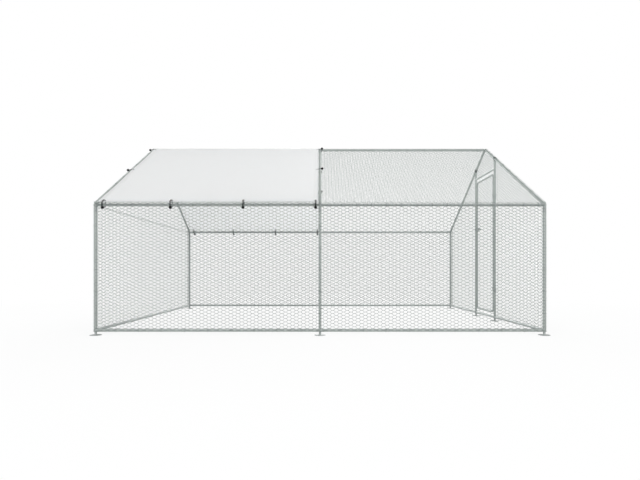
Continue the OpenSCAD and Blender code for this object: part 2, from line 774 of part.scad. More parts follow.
module post_hinge_brackets() {
    to_pin = [hinge_x - half_l, hinge_y + door_post_y];
    for (z = hinge_heights)
        color(fitting_colour) translate([half_l, -door_post_y, z]) difference() {
            union() {
                strap(tube_d, strap_h);
                translate([0, 0, arm_step]) arm_to(to_pin, bracket_h, bracket_h - 2 * arm_step);
                translate([to_pin.x, to_pin.y, 0]) {
                    cylinder(d = knuckle_d, h = bracket_h);
                    cylinder(d = hinge_pin_d, h = bracket_h + knuckle_h + hinge_pin_stand);
                }
            }
            cylinder(d = tube_d + 2 * fit_gap, h = 2 * strap_h, center = true);
        }
}

module door_hinge_eyes() {
    to_pin = [hinge_x - half_l, hinge_y + leaf_y];
    for (z = hinge_heights)
        color(fitting_colour) translate([half_l, -leaf_y, z + bracket_h + fit_gap]) difference() {
            union() {
                translate([0, 0, knuckle_h / 2]) strap(leaf_tube_d, knuckle_h);
                translate([0, 0, arm_step]) arm_to(to_pin, bracket_h, knuckle_h - 2 * arm_step);
                translate([to_pin.x, to_pin.y, 0]) cylinder(d = knuckle_d, h = knuckle_h);
            }
            translate([0, 0, -1]) cylinder(d = leaf_tube_d + 2 * fit_gap, h = knuckle_h + 2);
            translate([to_pin.x, to_pin.y, -1])
                cylinder(d = hinge_pin_d + 2 * hinge_play, h = knuckle_h + 2);
        }
}

function stile(side) =
    [[half_l, side * leaf_y, leaf_bottom + leaf_leg], [half_l, side * leaf_y, leaf_top - leaf_leg],
     [1, 0, 0]];
function leaf_rail(z) =
    [[half_l, leaf_leg - leaf_y, z], [half_l, leaf_y - leaf_leg, z], [1, 0, 0]];
leaf_tubes = [stile(front), stile(back), leaf_rail(leaf_bottom), leaf_rail(leaf_top)];

module leaf_tube(t) {
    frame_tube(t, leaf_tube_d, leaf_wall, rivet_d + 2 * fit_gap, rivet_inset);
}

module door_hinge_stile() leaf_tube(leaf_tubes[0]);
module door_latch_stile() leaf_tube(leaf_tubes[1]);
module door_rails() for (i = [2, 3]) leaf_tube(leaf_tubes[i]);

module door_corner_elbows() {
    r = leaf_bend_radius;
    straight = leaf_leg - r;
    rivet_hole = rivet_d + 2 * fit_gap;
    for (s = sides, up = ends) {
        z = up > 0 ? leaf_top : leaf_bottom;
        out = [0, 0, s * up];
        color(tube_colour)
            multmatrix([[0, 0, s * up, half_l], [s, 0, 0, s * (leaf_y - r)], [0, up, 0, z - up * r]])
                difference() {
                    union() {
                        bend(90, r, leaf_tube_d);
                        on_axis([r, 0, 0], [0, -1, 0], out)
                            leg_outside(straight, leaf_tube_d, leaf_spigot_d, leaf_spigot_length);
                        on_axis([0, r, 0], [-1, 0, 0], out)
                            leg_outside(straight, leaf_tube_d, leaf_spigot_d, leaf_spigot_length);
                    }
                    bend(90, r, leaf_spigot_bore);
                    on_axis([r, 0, 0], [0, -1, 0], out) leg_bore(straight, 0, leaf_spigot_bore,
                        leaf_spigot_length, rivet_hole, rivet_inset);
                    on_axis([0, r, 0], [-1, 0, 0], out) leg_bore(straight, 0, leaf_spigot_bore,
                        leaf_spigot_length, rivet_hole, rivet_inset);
                }
    }
}

module door_rivets() {
    color(fitting_colour) for (t = leaf_tubes, end = [0, 1]) {
        along = unit(t[1] - t[0]);
        at = end == 0 ? t[0] + rivet_inset * along : t[1] - rivet_inset * along;
        on_axis(at + (leaf_r + head_gap) * t[2], t[2], along) {
            cylinder(d = rivet_head_d, h = rivet_head_h);
            translate([0, 0, -rivet_length]) cylinder(d = rivet_d, h = rivet_length + 1);
        }
    }
}

// The leaf's netting fills the leaf between its tubes, with its corners cut off inside the bends
module door_net() {
    w = leaf_y - leaf_r - fit_gap;
    low = leaf_bottom + leaf_r + fit_gap;
    high = leaf_top - leaf_r - fit_gap;
    c = leaf_bend_radius - leaf_r;
    outline = [[-w + c, low], [w - c, low], [w, low + c], [w, high - c], [w - c, high],
        [-w + c, high], [-w, high - c], [-w, low + c]];
    inner_high = [w - net_band, high - net_band];
    inner_low = [net_band - w, low + net_band];
    difference() {
        translate([half_l - net_t / 2, 0, 0]) rotate([90, 0, 90])
            net_panel(outline, inner_low, inner_high, rectangle(inner_low, inner_high));
        for (z = hinge_heights)
            translate([half_l, -leaf_y, z + bracket_h + fit_gap + knuckle_h / 2])
                strap(leaf_tube_d + 2 * fit_gap, knuckle_h + strap_room);
        translate([half_l, leaf_y, latch_height])
            strap(leaf_tube_d + 2 * fit_gap, latch_plate_h + strap_room);
    }
}

module latch_guide() {
    color(fitting_colour) difference() {
        union() {
            translate([half_l, leaf_y, latch_height]) strap(leaf_tube_d, latch_plate_h);
            translate([latch_plate_x, latch_ends[0], latch_height - latch_plate_h / 2])
                cube([latch_plate_t, latch_ends[1] - latch_ends[0], latch_plate_h]);
            for (y = [latch_ends[0], latch_ends[1] - guide_w])
                translate([latch_plate_x, y, latch_height - guide_h / 2])
                    cube([latch_x - latch_plate_x + guide_h / 2, guide_w, guide_h]);
        }
        translate([half_l, leaf_y, 0]) cylinder(d = leaf_tube_d + 2 * fit_gap, h = leaf_top);
        translate([latch_x, leaf_y, latch_height]) rotate([90, 0, 0])
            cylinder(d = bolt_d + 2 * fit_gap, h = 2 * door_post_spacing, center = true);
    }
}

module latch_bolt() {
    color(fitting_colour) {
        translate([latch_x, bolt_tail, latch_height]) rotate([-90, 0, 0])
            cylinder(d = bolt_d, h = bolt_nose - bolt_tail);
        translate([latch_x, knob_y, latch_height]) rotate([0, 90, 0])
            cylinder(d = knob_d, h = knob_reach);
    }
}

module latch_keeper() {
    color(fitting_colour) difference() {
        union() {
            translate([half_l, door_post_y, latch_height]) strap(tube_d, latch_plate_h);
            translate([half_l + 1, keeper_y, latch_height - keeper_h / 2])
                cube([latch_x - half_l - 1 + keeper_h / 2, keeper_w, keeper_h]);
        }
        translate([half_l, door_post_y, 0]) cylinder(d = tube_d + 2 * fit_gap, h = door_post_top);
        translate([latch_x, door_post_y, latch_height]) rotate([90, 0, 0])
            cylinder(d = keeper_hole_d, h = 4 * keeper_w, center = true);
    }
}

front_left_post();
front_centre_post();
front_right_post();
back_left_post();
back_centre_post();
back_right_post();
front_left_bottom_rail();
front_right_bottom_rail();
back_left_bottom_rail();
back_right_bottom_rail();
left_gable_front_rail();
left_gable_back_rail();
right_gable_front_rail();
right_gable_back_rail();
door_sill();
front_left_eave_rail();
front_right_eave_rail();
back_left_eave_rail();
back_right_eave_rail();
ridge_tubes();
left_rafters();
centre_rafters();
right_rafters();
eave_corner_elbows();
eave_centre_elbows();
ridge_end_elbows();
ridge_centre_elbow();
base_corner_connectors();
base_centre_connectors();
door_post_tees();
hinge_post();
latch_post();
door_lintel();
lintel_plugs();
door_post_clamps();
ground_feet();
frame_screws();
front_wall_net();
back_wall_net();
front_roof_net();
back_roof_net();
left_gable_net();
right_gable_front_net();
right_gable_back_net();
door_header_net();
roof_cover();
cover_eyelets();
tie_cords();
tie_balls();
post_hinge_brackets();
latch_keeper();
door_hinge_stile();
door_latch_stile();
door_rails();
door_corner_elbows();
door_rivets();
door_net();
door_hinge_eyes();
latch_guide();
latch_bolt();
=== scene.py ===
# Looks for a walk-in chicken run: galvanised tube frame, hexagonal wire netting, a woven cover
# over the left half of the roof, elastic ties with balls, and a netted door in the right gable
import math

import bmesh
import bpy
from mathutils import Matrix, Vector, noise


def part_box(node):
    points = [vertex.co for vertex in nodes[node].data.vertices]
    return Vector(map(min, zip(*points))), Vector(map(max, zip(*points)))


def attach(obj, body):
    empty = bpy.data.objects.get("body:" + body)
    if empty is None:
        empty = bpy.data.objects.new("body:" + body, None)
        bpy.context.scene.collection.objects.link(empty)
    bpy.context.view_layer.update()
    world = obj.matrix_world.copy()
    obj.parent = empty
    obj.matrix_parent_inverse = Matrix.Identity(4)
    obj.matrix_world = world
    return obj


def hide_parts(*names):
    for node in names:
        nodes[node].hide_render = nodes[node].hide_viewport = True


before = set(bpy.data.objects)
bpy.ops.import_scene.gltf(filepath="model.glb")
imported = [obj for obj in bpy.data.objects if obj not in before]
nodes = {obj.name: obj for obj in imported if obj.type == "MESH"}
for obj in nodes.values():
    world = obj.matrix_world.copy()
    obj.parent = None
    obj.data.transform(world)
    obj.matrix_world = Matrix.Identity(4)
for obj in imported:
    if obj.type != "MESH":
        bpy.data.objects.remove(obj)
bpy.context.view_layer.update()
print("frame loaded:", len(nodes), "nodes")


# Where things are, read from the frame
def boxAndMiddle(node):
    low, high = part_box(node)
    return low, high, (low + high) / 2


def middle(node):
    return boxAndMiddle(node)[2]


def radiusOf(tube):
    low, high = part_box(tube)
    return (high.y - low.y) / 2


def looseSolids(node):
    # each separate solid of a node: its box's centre, its corners, and its widest facet's normal
    bm = bmesh.new()
    bm.from_mesh(nodes[node].data)
    bmesh.ops.remove_doubles(bm, verts=bm.verts, dist=1e-6)
    solids, waiting = [], set(bm.faces)
    for first in bm.faces:
        if first in waiting:
            waiting.remove(first)
            found = [first]
            for face in found:
                for other in {f for e in face.edges for f in e.link_faces} & waiting:
                    waiting.remove(other)
                    found.append(other)
            points = [v.co.copy() for f in found for v in f.verts]
            low, high = (Vector(pick(p[i] for p in points) for i in range(3))
                         for pick in (min, max))
            widest = max(found, key=lambda f: round(f.calc_area(), 9))
            solids.append(((low + high) / 2, points, widest.normal.copy()))
    bm.free()
    return sorted(solids, key=lambda solid: [round(c, 4) for c in solid[0]])


halfLength = middle("front_right_post").x
halfWidth = middle("back_right_post").y
tubeRadius = radiusOf("front_left_bottom_rail")
bottomZ = middle("front_left_bottom_rail").z
eaveY = middle("back_left_eave_rail").y
eaveZ = middle("back_left_eave_rail").z
doorPostY = middle("latch_post").y
roof = {
    "eaveHeight": 1.138,   # where the middle lines of a post and its rafter meet
    "apexHeight": 1.994,   # where the middle lines of two rafters meet
    "ridgeBend": 0.055,    # bend radius over the ridge
    "sag": 0.007,          # how far netting and cover hang between two frames
}
pitch = math.atan2(roof["apexHeight"] - roof["eaveHeight"], halfWidth)
slopeRun = halfWidth / math.cos(pitch) - roof["ridgeBend"] * math.tan(pitch)
ridgeRun = roof["ridgeBend"] * 2 * pitch
roofRun = 2 * slopeRun + ridgeRun
ridgeArcZ = roof["apexHeight"] - roof["ridgeBend"] / math.cos(pitch)


def roofPlace(x, run, out):
    # run goes from the front eave over the ridge to the back eave, out is off the frame's middle line
    if slopeRun < run < slopeRun + ridgeRun:
        turn = (run - slopeRun) / roof["ridgeBend"] - pitch
        reach = roof["ridgeBend"] + out
        return Vector((x, reach * math.sin(turn), ridgeArcZ + reach * math.cos(turn)))
    side = -1 if run <= slopeRun else 1
    up = run if side < 0 else roofRun - run
    return Vector((x, side * (halfWidth - math.cos(pitch) * up + math.sin(pitch) * out),
                   roof["eaveHeight"] + math.sin(pitch) * up + math.cos(pitch) * out))


def roofSag(x, run):
    across = abs(x) / halfLength
    up = min(run, roofRun - run) / slopeRun
    return roof["sag"] * math.sin(math.pi * across) * math.sin(math.pi * max(0, min(1, up)))


def linearColour(hexColour):
    channels = [int(hexColour[i:i + 2], 16) / 255 for i in (1, 3, 5)]
    return tuple(c / 12.92 if c <= 0.04045 else ((c + 0.055) / 1.055) ** 2.4
                 for c in channels) + (1.0,)


def addNode(tree, kind, settings=None, links=None):
    node = tree.nodes.new(kind)
    for key, value in (settings or {}).items():
        if isinstance(key, int) or key in node.inputs:
            node.inputs[key].default_value = value
        else:
            setattr(node, key, value)
    for key, source in (links or {}).items():
        tree.links.new(source, node.inputs[key])
    return node


def noiseOver(tree, vector, sizeMm, detail, roughness=0.5):
    return addNode(tree, "ShaderNodeTexNoise",
                   {"Scale": 1000 / sizeMm, "Detail": detail, "Roughness": roughness},
                   {"Vector": vector}).outputs["Fac"]


def reliefFrom(tree, height, strength, distance):
    return addNode(tree, "ShaderNodeBump", {"Strength": strength, "Distance": distance},
                   {"Height": height})


def colourAndRelief(tree, surface, value, stops, relief):
    # value runs the surface's colour from the first stop to the second
    ramp = addNode(tree, "ShaderNodeValToRGB", None, {"Fac": value})
    for element, (place, hexColour) in zip(ramp.color_ramp.elements, stops):
        element.position = place
        element.color = linearColour(hexColour)
    tree.links.new(ramp.outputs["Color"], surface.inputs["Base Color"])
    tree.links.new(relief.outputs["Normal"], surface.inputs["Normal"])


def newMaterial(name, settings):
    material = bpy.data.materials.new(name)
    material.use_nodes = True
    tree = material.node_tree
    surface = tree.nodes["Principled BSDF"]
    for key, value in settings.items():
        surface.inputs[key].default_value = value
    return material, tree, surface


def zincMaterial(name, look):
    # zinc shows as a mottle of pale and dull crystals, with a soft gloss that varies between them
    material, tree, surface = newMaterial(name, {
        "Metallic": look["metallic"], "Roughness": look["roughness"]})
    where = addNode(tree, "ShaderNodeTexCoord").outputs["Object"]
    spangle = addNode(tree, "ShaderNodeTexVoronoi",
                      {"Scale": 1000 / look["spangleMm"], "Randomness": 1.0}, {"Vector": where})
    blend = addNode(tree, "ShaderNodeMix", {"data_type": "FLOAT", "Factor": look["mottle"]},
                    {"A": spangle.outputs["Color"],
                     "B": noiseOver(tree, where, look["mottleMm"], 4.0, 0.6)}).outputs["Result"]
    gloss = addNode(tree, "ShaderNodeMapRange",
                    {"To Min": look["roughness"] - 0.07, "To Max": look["roughness"] + 0.1},
                    {"Value": blend})
    tree.links.new(gloss.outputs["Result"], surface.inputs["Roughness"])
    grain = noiseOver(tree, where, look["grainMm"], 2.0)
    colourAndRelief(tree, surface, blend, [(0.15, look["dull"]), (0.85, look["pale"])],
                    reliefFrom(tree, grain, look["bump"], 0.0002))
    return material


# Hot-dip galvanised steel tube: grey with faint spangle, a soft highlight along its length
galvanisedTube = zincMaterial("galvanisedSteelTube", {
    "dull": "#989e9c", "pale": "#b6bbb9", "metallic": 0.35, "roughness": 0.36,
    "spangleMm": 7, "mottleMm": 60, "mottle": 0.5, "grainMm": 1.2, "bump": 0.25})

# Galvanised malleable fittings: duller and a little rougher than the tube
galvanisedFitting = zincMaterial("galvanisedSteelFitting", {
    "dull": "#8b918f", "pale": "#abb0af", "metallic": 0.4, "roughness": 0.45,
    "spangleMm": 4, "mottleMm": 30, "mottle": 0.6, "grainMm": 0.9, "bump": 0.4})

# Bright zinc-plated screws and rivets: cleaner and shinier than dipped steel
zincPlated = zincMaterial("brightZincPlatedSteel", {
    "dull": "#a8acac", "pale": "#c3c7c8", "metallic": 0.9, "roughness": 0.3,
    "spangleMm": 2, "mottleMm": 8, "mottle": 0.8, "grainMm": 0.5, "bump": 0.15})

# Galvanised wire painted darker, as painted shade on netting whose side to the camera is unlit: dark
# grey with a green cast against a bright ground
paintedShadeWire = zincMaterial("paintedShadeGalvanisedWire", {
    "dull": "#55625d", "pale": "#6f7c76", "metallic": 0.45, "roughness": 0.5,
    "spangleMm": 5, "mottleMm": 90, "mottle": 0.6, "grainMm": 1.0, "bump": 0.2})

# Soft annealed tying wire, gone dark: the row of dark turns along each eave
annealedWire = zincMaterial("darkAnnealedTyingWire", {
    "dull": "#38423e", "pale": "#505b56", "metallic": 0.4, "roughness": 0.55,
    "spangleMm": 4, "mottleMm": 60, "mottle": 0.6, "grainMm": 1.0, "bump": 0.2})

# Pressed steel coloured almost black: the clamps at the tops of the door posts, which show as dark
# spots
nearBlackClampSteel = zincMaterial("nearBlackPressedSteel", {
    "dull": "#25292a", "pale": "#34393a", "metallic": 0.3, "roughness": 0.5,
    "spangleMm": 3, "mottleMm": 40, "mottle": 0.5, "grainMm": 0.8, "bump": 0.15})

# The same galvanised wire painted lighter, as painted light where the netting is lit from above and
# the side: in the rolls on the roof, the gables and the door
paintedLightWire = zincMaterial("paintedLightGalvanisedWire", {
    "dull": "#929d98", "pale": "#a8b2ad", "metallic": 0.55, "roughness": 0.42,
    "spangleMm": 5, "mottleMm": 90, "mottle": 0.6, "grainMm": 1.0, "bump": 0.2})


def wovenMaterial(look):
    # PVC-coated woven polyester: flat and almost white, with a low relief of ribs under the coat,
    # and thin enough to let daylight through
    material, tree, surface = newMaterial("coatedWovenPolyester", {
        "Roughness": look["roughness"], "Specular IOR Level": 0.3, "Sheen Weight": 0.05,
        "Subsurface Weight": look["lightThrough"], "Subsurface Radius": (1, 1, 1),
        "Subsurface Scale": 0.01})
    where = addNode(tree, "ShaderNodeUVMap", {"uv_map": "clothMetres"}).outputs["UV"]
    warp, weft = (addNode(tree, "ShaderNodeTexWave", {
        "wave_type": "BANDS", "bands_direction": direction, "wave_profile": "SIN",
        "Scale": look["ribScale"], "Distortion": 0.4, "Detail": 1.0},
        {"Vector": where}).outputs["Fac"] for direction in ("X", "Y"))
    weave = addNode(tree, "ShaderNodeMath", {"operation": "MULTIPLY"}, {0: warp, 1: weft})
    folds = reliefFrom(tree, noiseOver(tree, where, look["creaseMm"], 3.0), 0.35, 0.004)
    relief = reliefFrom(tree, weave.outputs["Value"], 0.3, 0.0002)
    tree.links.new(folds.outputs["Normal"], relief.inputs["Normal"])
    colourAndRelief(tree, surface, noiseOver(tree, where, look["soilMm"], 5.0),
                    [(0.3, look["shade"]), (0.7, look["colour"])], relief)
    return material


coverCloth = wovenMaterial({
    "colour": "#f5f8fe", "shade": "#f3f6fc", "roughness": 0.55, "lightThrough": 1.0,
    "ribScale": 31.2341,   # a rib every 10 mm: the real 0.8 mm thread is too fine to show
    "soilMm": 700, "creaseMm": 220})


def grainedMaterial(name, look):
    material, tree, surface = newMaterial(name, {
        "Roughness": look["roughness"], "Specular IOR Level": look["shine"]})
    where = addNode(tree, "ShaderNodeTexCoord").outputs["Object"]
    grain = noiseOver(tree, where, look["grainMm"], 3.0)
    colourAndRelief(tree, surface, grain, [(0.3, look["dark"]), (0.75, look["light"])],
                    reliefFrom(tree, grain, look["bump"], 0.0003))
    return material


# Braided polyester over rubber: matt black with a fuzzy grain of threads
elasticBraid = grainedMaterial("braidedElasticCord", {
    "dark": "#060606", "light": "#1b1b1c", "roughness": 0.85, "shine": 0.15, "grainMm": 0.7,
    "bump": 0.6})
# Moulded polypropylene: black with a soft shine
ballPlastic = grainedMaterial("mouldedPolypropylene", {
    "dark": "#070707", "light": "#111112", "roughness": 0.42, "shine": 0.2, "grainMm": 4,
    "bump": 0.08})
# Spun polyester sewing thread: white, matt and a little hairy
polyesterThread = grainedMaterial("spunPolyesterThread", {
    "dark": "#dcdfe0", "light": "#eceeef", "roughness": 0.8, "shine": 0.3, "grainMm": 0.8,
    "bump": 0.5})
print("materials made")


def meshFrom(bm, name, smooth=None):
    mesh = bpy.data.meshes.new(name)
    bm.to_mesh(mesh)
    bm.free()
    if smooth is not None:
        for face in mesh.polygons:
            face.use_smooth = True
        mesh.set_sharp_from_angle(angle=math.radians(smooth))
    return mesh


def addObject(name, data):
    made = bpy.data.objects.new(name, data)
    bpy.context.scene.collection.objects.link(made)
    return made


def addPiece(mesh, material, slot, body="frame", replaced=()):
    piece = addObject(mesh.name, mesh)
    mesh.materials.clear()
    mesh.materials.append(material)
    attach(piece, body)
    if replaced:
        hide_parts(*replaced)
    return piece


def everything(bm):
    return bm.verts[:] + bm.edges[:] + bm.faces[:]


def breakEdges(bm, edges, offset, segments):
    bmesh.ops.bevel(bm, geom=edges, offset=offset, affect="EDGES", segments=segments,
                    profile=0.5, material=-1)


def repeatAlong(bm, step, count):
    if count > 1:
        bmesh.ops.spin(bm, geom=everything(bm), cent=(0, 0, 0), axis=(0, 0, 1), dvec=step,
                       angle=0, steps=count - 1, use_duplicate=True)


def bentWire(name, paths, diameter, sides=1):
    # wires bent along paths, each a list of points and whether it closes on itself
    curve = bpy.data.curves.new(name, "CURVE")
    curve.dimensions = "3D"
    curve.bevel_depth = diameter / 2
    curve.bevel_resolution = sides
    curve.use_fill_caps = True
    for points, closed in paths:
        spline = curve.splines.new("POLY")
        spline.points.add(len(points) - 1)
        for knot, place in zip(spline.points, points):
            knot.co = (*place, 1)
        spline.use_cyclic_u = closed
    draft = bpy.data.objects.new(name, curve)
    mesh = bpy.data.meshes.new_from_object(draft)
    bpy.data.objects.remove(draft)
    bpy.data.curves.remove(curve)
    bm = bmesh.new()
    bm.from_mesh(mesh)
    bpy.data.meshes.remove(mesh)
    bmesh.ops.remove_doubles(bm, verts=bm.verts, dist=1e-6)
    bmesh.ops.recalc_face_normals(bm, faces=bm.faces)
    return meshFrom(bm, name, 50)


def joinMeshes(name, meshes, smooth=50):
    bm = bmesh.new()
    for mesh in meshes:
        bm.from_mesh(mesh)
        bpy.data.meshes.remove(mesh)
    return meshFrom(bm, name, smooth)


# Hexagonal netting, as a field of cells whose edges become wires
netting = {
    "cellLength": 0.063,    # from one twist to the next along a row
    "cellHeight": 0.0285,   # mesh size, from twist to twist across the roll
    "twistLength": 0.020,
    "wire": 0.0020,         # the real 1.4 mm all but vanishes at this size, so it is drawn thicker
    "twist": 0.0032,        # width of a twist
    "wander": 0.0006,       # how far a joint strays from its place
    "standOff": 0.0141,     # middle of the netting off the tubes' middle lines
    "scrap": 0.18,          # a cut cell smaller than this share of a whole one is left out
    "selvedge": 0.0026,
    "tieWire": 0.0018,
    "ripple": 0.0022,       # how far a panel strays from flat
    "wrapRun": 0.06,        # how far a wall's netting goes on past its corner post
    "wrapOut": 0.0024,      # and how far off the gable's netting it lies there
    "wallTop": 1.162,
    "seam": 1.136,          # height where the left gable's two pieces meet
    "cutCorner": 0.034,     # cut off each corner of the door's netting, inside its elbows
    "besidePost": 0.0235,   # from a door post's middle line to the netting beside the door
    "overEdge": 0.004,      # how far gable netting goes up past the rafters' middle line
    "overSelvedge": 0.003,  # and its selvedge
}


def nettingPanel(outline, openTop=False, trimmed=None):
    # a flat panel in u and v: a field of cells cut to the outline, each cell's edge made wire
    cellL, cellH, twist = netting["cellLength"], netting["cellHeight"], netting["twistLength"]
    wire = netting["wire"]
    low = Vector((min(p[0] for p in outline), min(p[1] for p in outline), 0))
    high = Vector((max(p[0] for p in outline), max(p[1] for p in outline), 0))
    bm = bmesh.new()
    bmesh.ops.create_circle(bm, cap_ends=True, segments=6, radius=1)
    bmesh.ops.rotate(bm, verts=bm.verts, cent=(0, 0, 0), matrix=Matrix.Rotation(math.pi / 2, 3, "Z"))
    for corner in bm.verts:
        atSide = abs(corner.co.y) < 0.1
        corner.co.x = math.copysign((cellL - twist) / 2 if atSide else twist / 2, corner.co.x)
        corner.co.y = 0 if atSide else math.copysign(cellH / 2, corner.co.y)
    second = bmesh.ops.duplicate(bm, geom=everything(bm))["geom"]
    bmesh.ops.translate(bm, vec=(cellL / 2, cellH / 2, 0),
                        verts=[v for v in second if isinstance(v, bmesh.types.BMVert)])
    repeatAlong(bm, (cellL, 0, 0), int((high.x - low.x) / cellL) + 2)
    repeatAlong(bm, (0, cellH, 0), int((high.y - low.y) / cellH) + 2)
    bmesh.ops.translate(bm, vec=low, verts=bm.verts)
    bmesh.ops.remove_doubles(bm, verts=bm.verts, dist=0.0002)
    for face in bm.faces:
        if face.normal.z < 0:
            face.normal_flip()
    for joint in bm.verts:
        joint.co += netting["wander"] * noise.noise_vector(joint.co * 47).to_2d().to_3d()
    for a, b in zip(outline, outline[1:] + outline[:1]):
        if not (openTop and a[1] == b[1] == high.y):
            bmesh.ops.bisect_plane(bm, geom=everything(bm), dist=1e-5, plane_co=(*a, 0),
                                   plane_no=(b[1] - a[1], a[0] - b[0], 0), clear_outer=True)
    whole = cellH * (cellL - 2 * twist) / 2 + cellH * twist
    scraps = [f for f in bm.faces if f.calc_area() < netting["scrap"] * whole]
    if trimmed:
        scraps += [f for f in bm.faces if f not in scraps and trimmed(f.calc_center_median())]
    bmesh.ops.delete(bm, geom=scraps, context="FACES")
    for face in bm.faces:
        # slot 1 marks the cells past an open top, which leave only the wire that they share
        face.material_index = int(openTop and max(v.co.y for v in face.verts) > high.y)
    cells = bm.faces[:]
    rims = bmesh.ops.inset_individual(bm, faces=cells, thickness=wire / 2, depth=-wire / 2,
                                      use_even_offset=True)["faces"]
    for cell in cells:
        centre = cell.calc_center_median()
        if len(cell.verts) == 6:
            for corner in cell.verts:
                rise = centre.y - corner.co.y
                if abs(rise) > 0.3 * cellH:
                    corner.co.y += math.copysign((netting["twist"] - wire) / 2, rise)
    spare = [f for f in rims if f.material_index
             and all(g.material_index for e in f.edges for g in e.link_faces)]
    bmesh.ops.delete(bm, geom=cells, context="FACES_ONLY")
    bmesh.ops.delete(bm, geom=spare, context="FACES")
    bmesh.ops.translate(bm, vec=(0, 0, wire / 2), verts=bm.verts)
    edge = [e for e in bm.edges if e.is_boundary and max(v.co.z for v in e.verts) > 1e-5]
    skirt = bmesh.ops.extrude_edge_only(bm, edges=edge)["geom"]
    for corner in skirt:
        if isinstance(corner, bmesh.types.BMVert):
            corner.co.z = 0
    bmesh.ops.remove_doubles(bm, verts=[v for v in bm.verts if v.co.z < 0.4 * wire], dist=1e-5)
    bmesh.ops.mirror(bm, geom=everything(bm), axis="Z", merge_dist=1e-5)
    for face in bm.faces:
        face.material_index = 0
    return bm


def setNetting(name, bm, place, replaced, body="frame", wire=paintedLightWire):
    for corner in bm.verts:
        corner.co = place(*corner.co)
    bmesh.ops.recalc_face_normals(bm, faces=bm.faces)
    piece = addPiece(meshFrom(bm, name, 180), wire, "netting", body, replaced)
    print(name, "faces:", len(piece.data.polygons))
    return piece


wrapRun = netting["wrapRun"]
wrapArc = netting["standOff"] * math.pi / 2
wrap = wrapRun + wrapArc
railTop = eaveZ + tubeRadius
wallBottom = bottomZ - tubeRadius


def ripple(u, v):
    return netting["ripple"] * (0.5 + 0.5 * noise.noise(Vector((u * 5.1, v * 6.3, 0.7))))


def wallPlace(side):
    # from the left gable round the corner post, along the wall, and round the right corner post
    def place(u, v, w):
        stand = netting["standOff"]
        along = u + wrap
        whole = 2 * halfLength + 2 * wrap
        near = min(along, whole - along)
        end = -1 if along < whole / 2 else 1
        pinch = 0.0004 + 0.0014 * abs(math.sin(math.pi * v / 0.19))
        if near < wrapRun:
            return Vector((end * (halfLength + stand + netting["wrapOut"] + w),
                           side * (halfWidth - (wrapRun - near)), v))
        if near < wrapRun + wrapArc:
            share = (near - wrapRun) / wrapArc
            turn = share * math.pi / 2
            reach = stand + w + netting["wrapOut"] * (1 - share)
            reach += pinch * math.sin(math.pi * share)
            return Vector((end * (halfLength + reach * math.cos(turn)),
                           side * (halfWidth + reach * math.sin(turn)), v))
        return Vector((u - halfLength, side * (halfWidth + stand + w + ripple(u, v)), v))
    return place


def rectangle(left, bottom, right, top):
    return [(left, bottom), (right, bottom), (right, top), (left, top)]


for sideName, side in (("front", -1), ("back", 1)):
    outline = rectangle(-wrap, wallBottom, 2 * halfLength + wrap, netting["wallTop"])
    # beside the cover the netting stands up past the eave, and past it it is trimmed at the rail
    panel = nettingPanel(outline, True, lambda cell: cell.x > halfLength and cell.y > railTop)
    # the walls' netting takes the darker wire, whose colour carries painted shade
    setNetting(sideName + "WallNetting", panel, wallPlace(side), [sideName + "_wall_net"],
               wire=paintedShadeWire)
print("wall netting made")


def roofNettingPlace(u, v, w):
    return roofPlace(u, v, netting["standOff"] + w - roofSag(u, v))


# the roof's netting keeps the lighter wire, whose colour carries painted light
for bayName, left, right in (("left", -halfLength - tubeRadius, -0.004),
                             ("right", 0.004, halfLength + tubeRadius)):
    setNetting(bayName + "RoofNetting",
               nettingPanel(rectangle(left, 0.002, right, roofRun - 0.002)),
               roofNettingPlace, ["front_roof_net", "back_roof_net"])
print("roof netting made")


def underRoof(y, down=0.0):
    return roof["apexHeight"] - abs(y) * math.tan(pitch) - down / math.cos(pitch)


def gablePlace(end):
    def place(u, v, w):
        edge = max(0.0, min(1.0, (underRoof(u) - v) / 0.1))
        return Vector((end * (halfLength + netting["standOff"] + w + edge * ripple(u, v)), u, v))
    return place


gableReach = halfWidth + tubeRadius - 0.001
seamZ = netting["seam"]
overEdge = netting["overEdge"]
shoulder = gableReach - 0.004
gableTop = [(-shoulder, seamZ - 0.012), (shoulder, seamZ - 0.012), (shoulder, seamZ + 0.006),
            (0, underRoof(0, -overEdge)), (-shoulder, seamZ + 0.006)]
setNetting("leftGableLowerNetting",
           nettingPanel(rectangle(-gableReach, wallBottom, gableReach, seamZ)),
           gablePlace(-1), ["left_gable_net"])
setNetting("leftGableUpperNetting", nettingPanel(gableTop), gablePlace(-1), ["left_gable_net"])
besideDoor = doorPostY + netting["besidePost"]
for sideName, side in (("Front", -1), ("Back", 1)):
    inner, outer = (-gableReach, -besideDoor) if side < 0 else (besideDoor, gableReach)
    outline = [(inner, wallBottom), (outer, wallBottom),
               (outer, underRoof(outer, -overEdge)), (inner, underRoof(inner, -overEdge))]
    setNetting("rightGable" + sideName + "Netting", nettingPanel(outline), gablePlace(1),
               ["right_gable_" + sideName.lower() + "_net"])
overDoor = doorPostY - netting["besidePost"]
lintelZ = middle("door_lintel").z


def headerOutline(past):
    # over the lintel, with its peak this far past the rafters' middle line
    return [(-overDoor, lintelZ), (overDoor, lintelZ), (overDoor, underRoof(overDoor)),
            (0, underRoof(0, -past)), (-overDoor, underRoof(overDoor))]


setNetting("doorHeaderNetting", nettingPanel(headerOutline(overEdge)), gablePlace(1),
           ["door_header_net"])
doorLow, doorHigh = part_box("door_net")
cut = netting["cutCorner"]
doorOutline = [(doorLow.y + cut, doorLow.z), (doorHigh.y - cut, doorLow.z),
               (doorHigh.y, doorLow.z + cut), (doorHigh.y, doorHigh.z - cut),
               (doorHigh.y - cut, doorHigh.z), (doorLow.y + cut, doorHigh.z),
               (doorLow.y, doorHigh.z - cut), (doorLow.y, doorLow.z + cut)]
setNetting("doorNetting", nettingPanel(doorOutline),
           lambda u, v, w: Vector((halfLength + w, u, v)), ["door_net"], "door")
print("gable and door netting made")


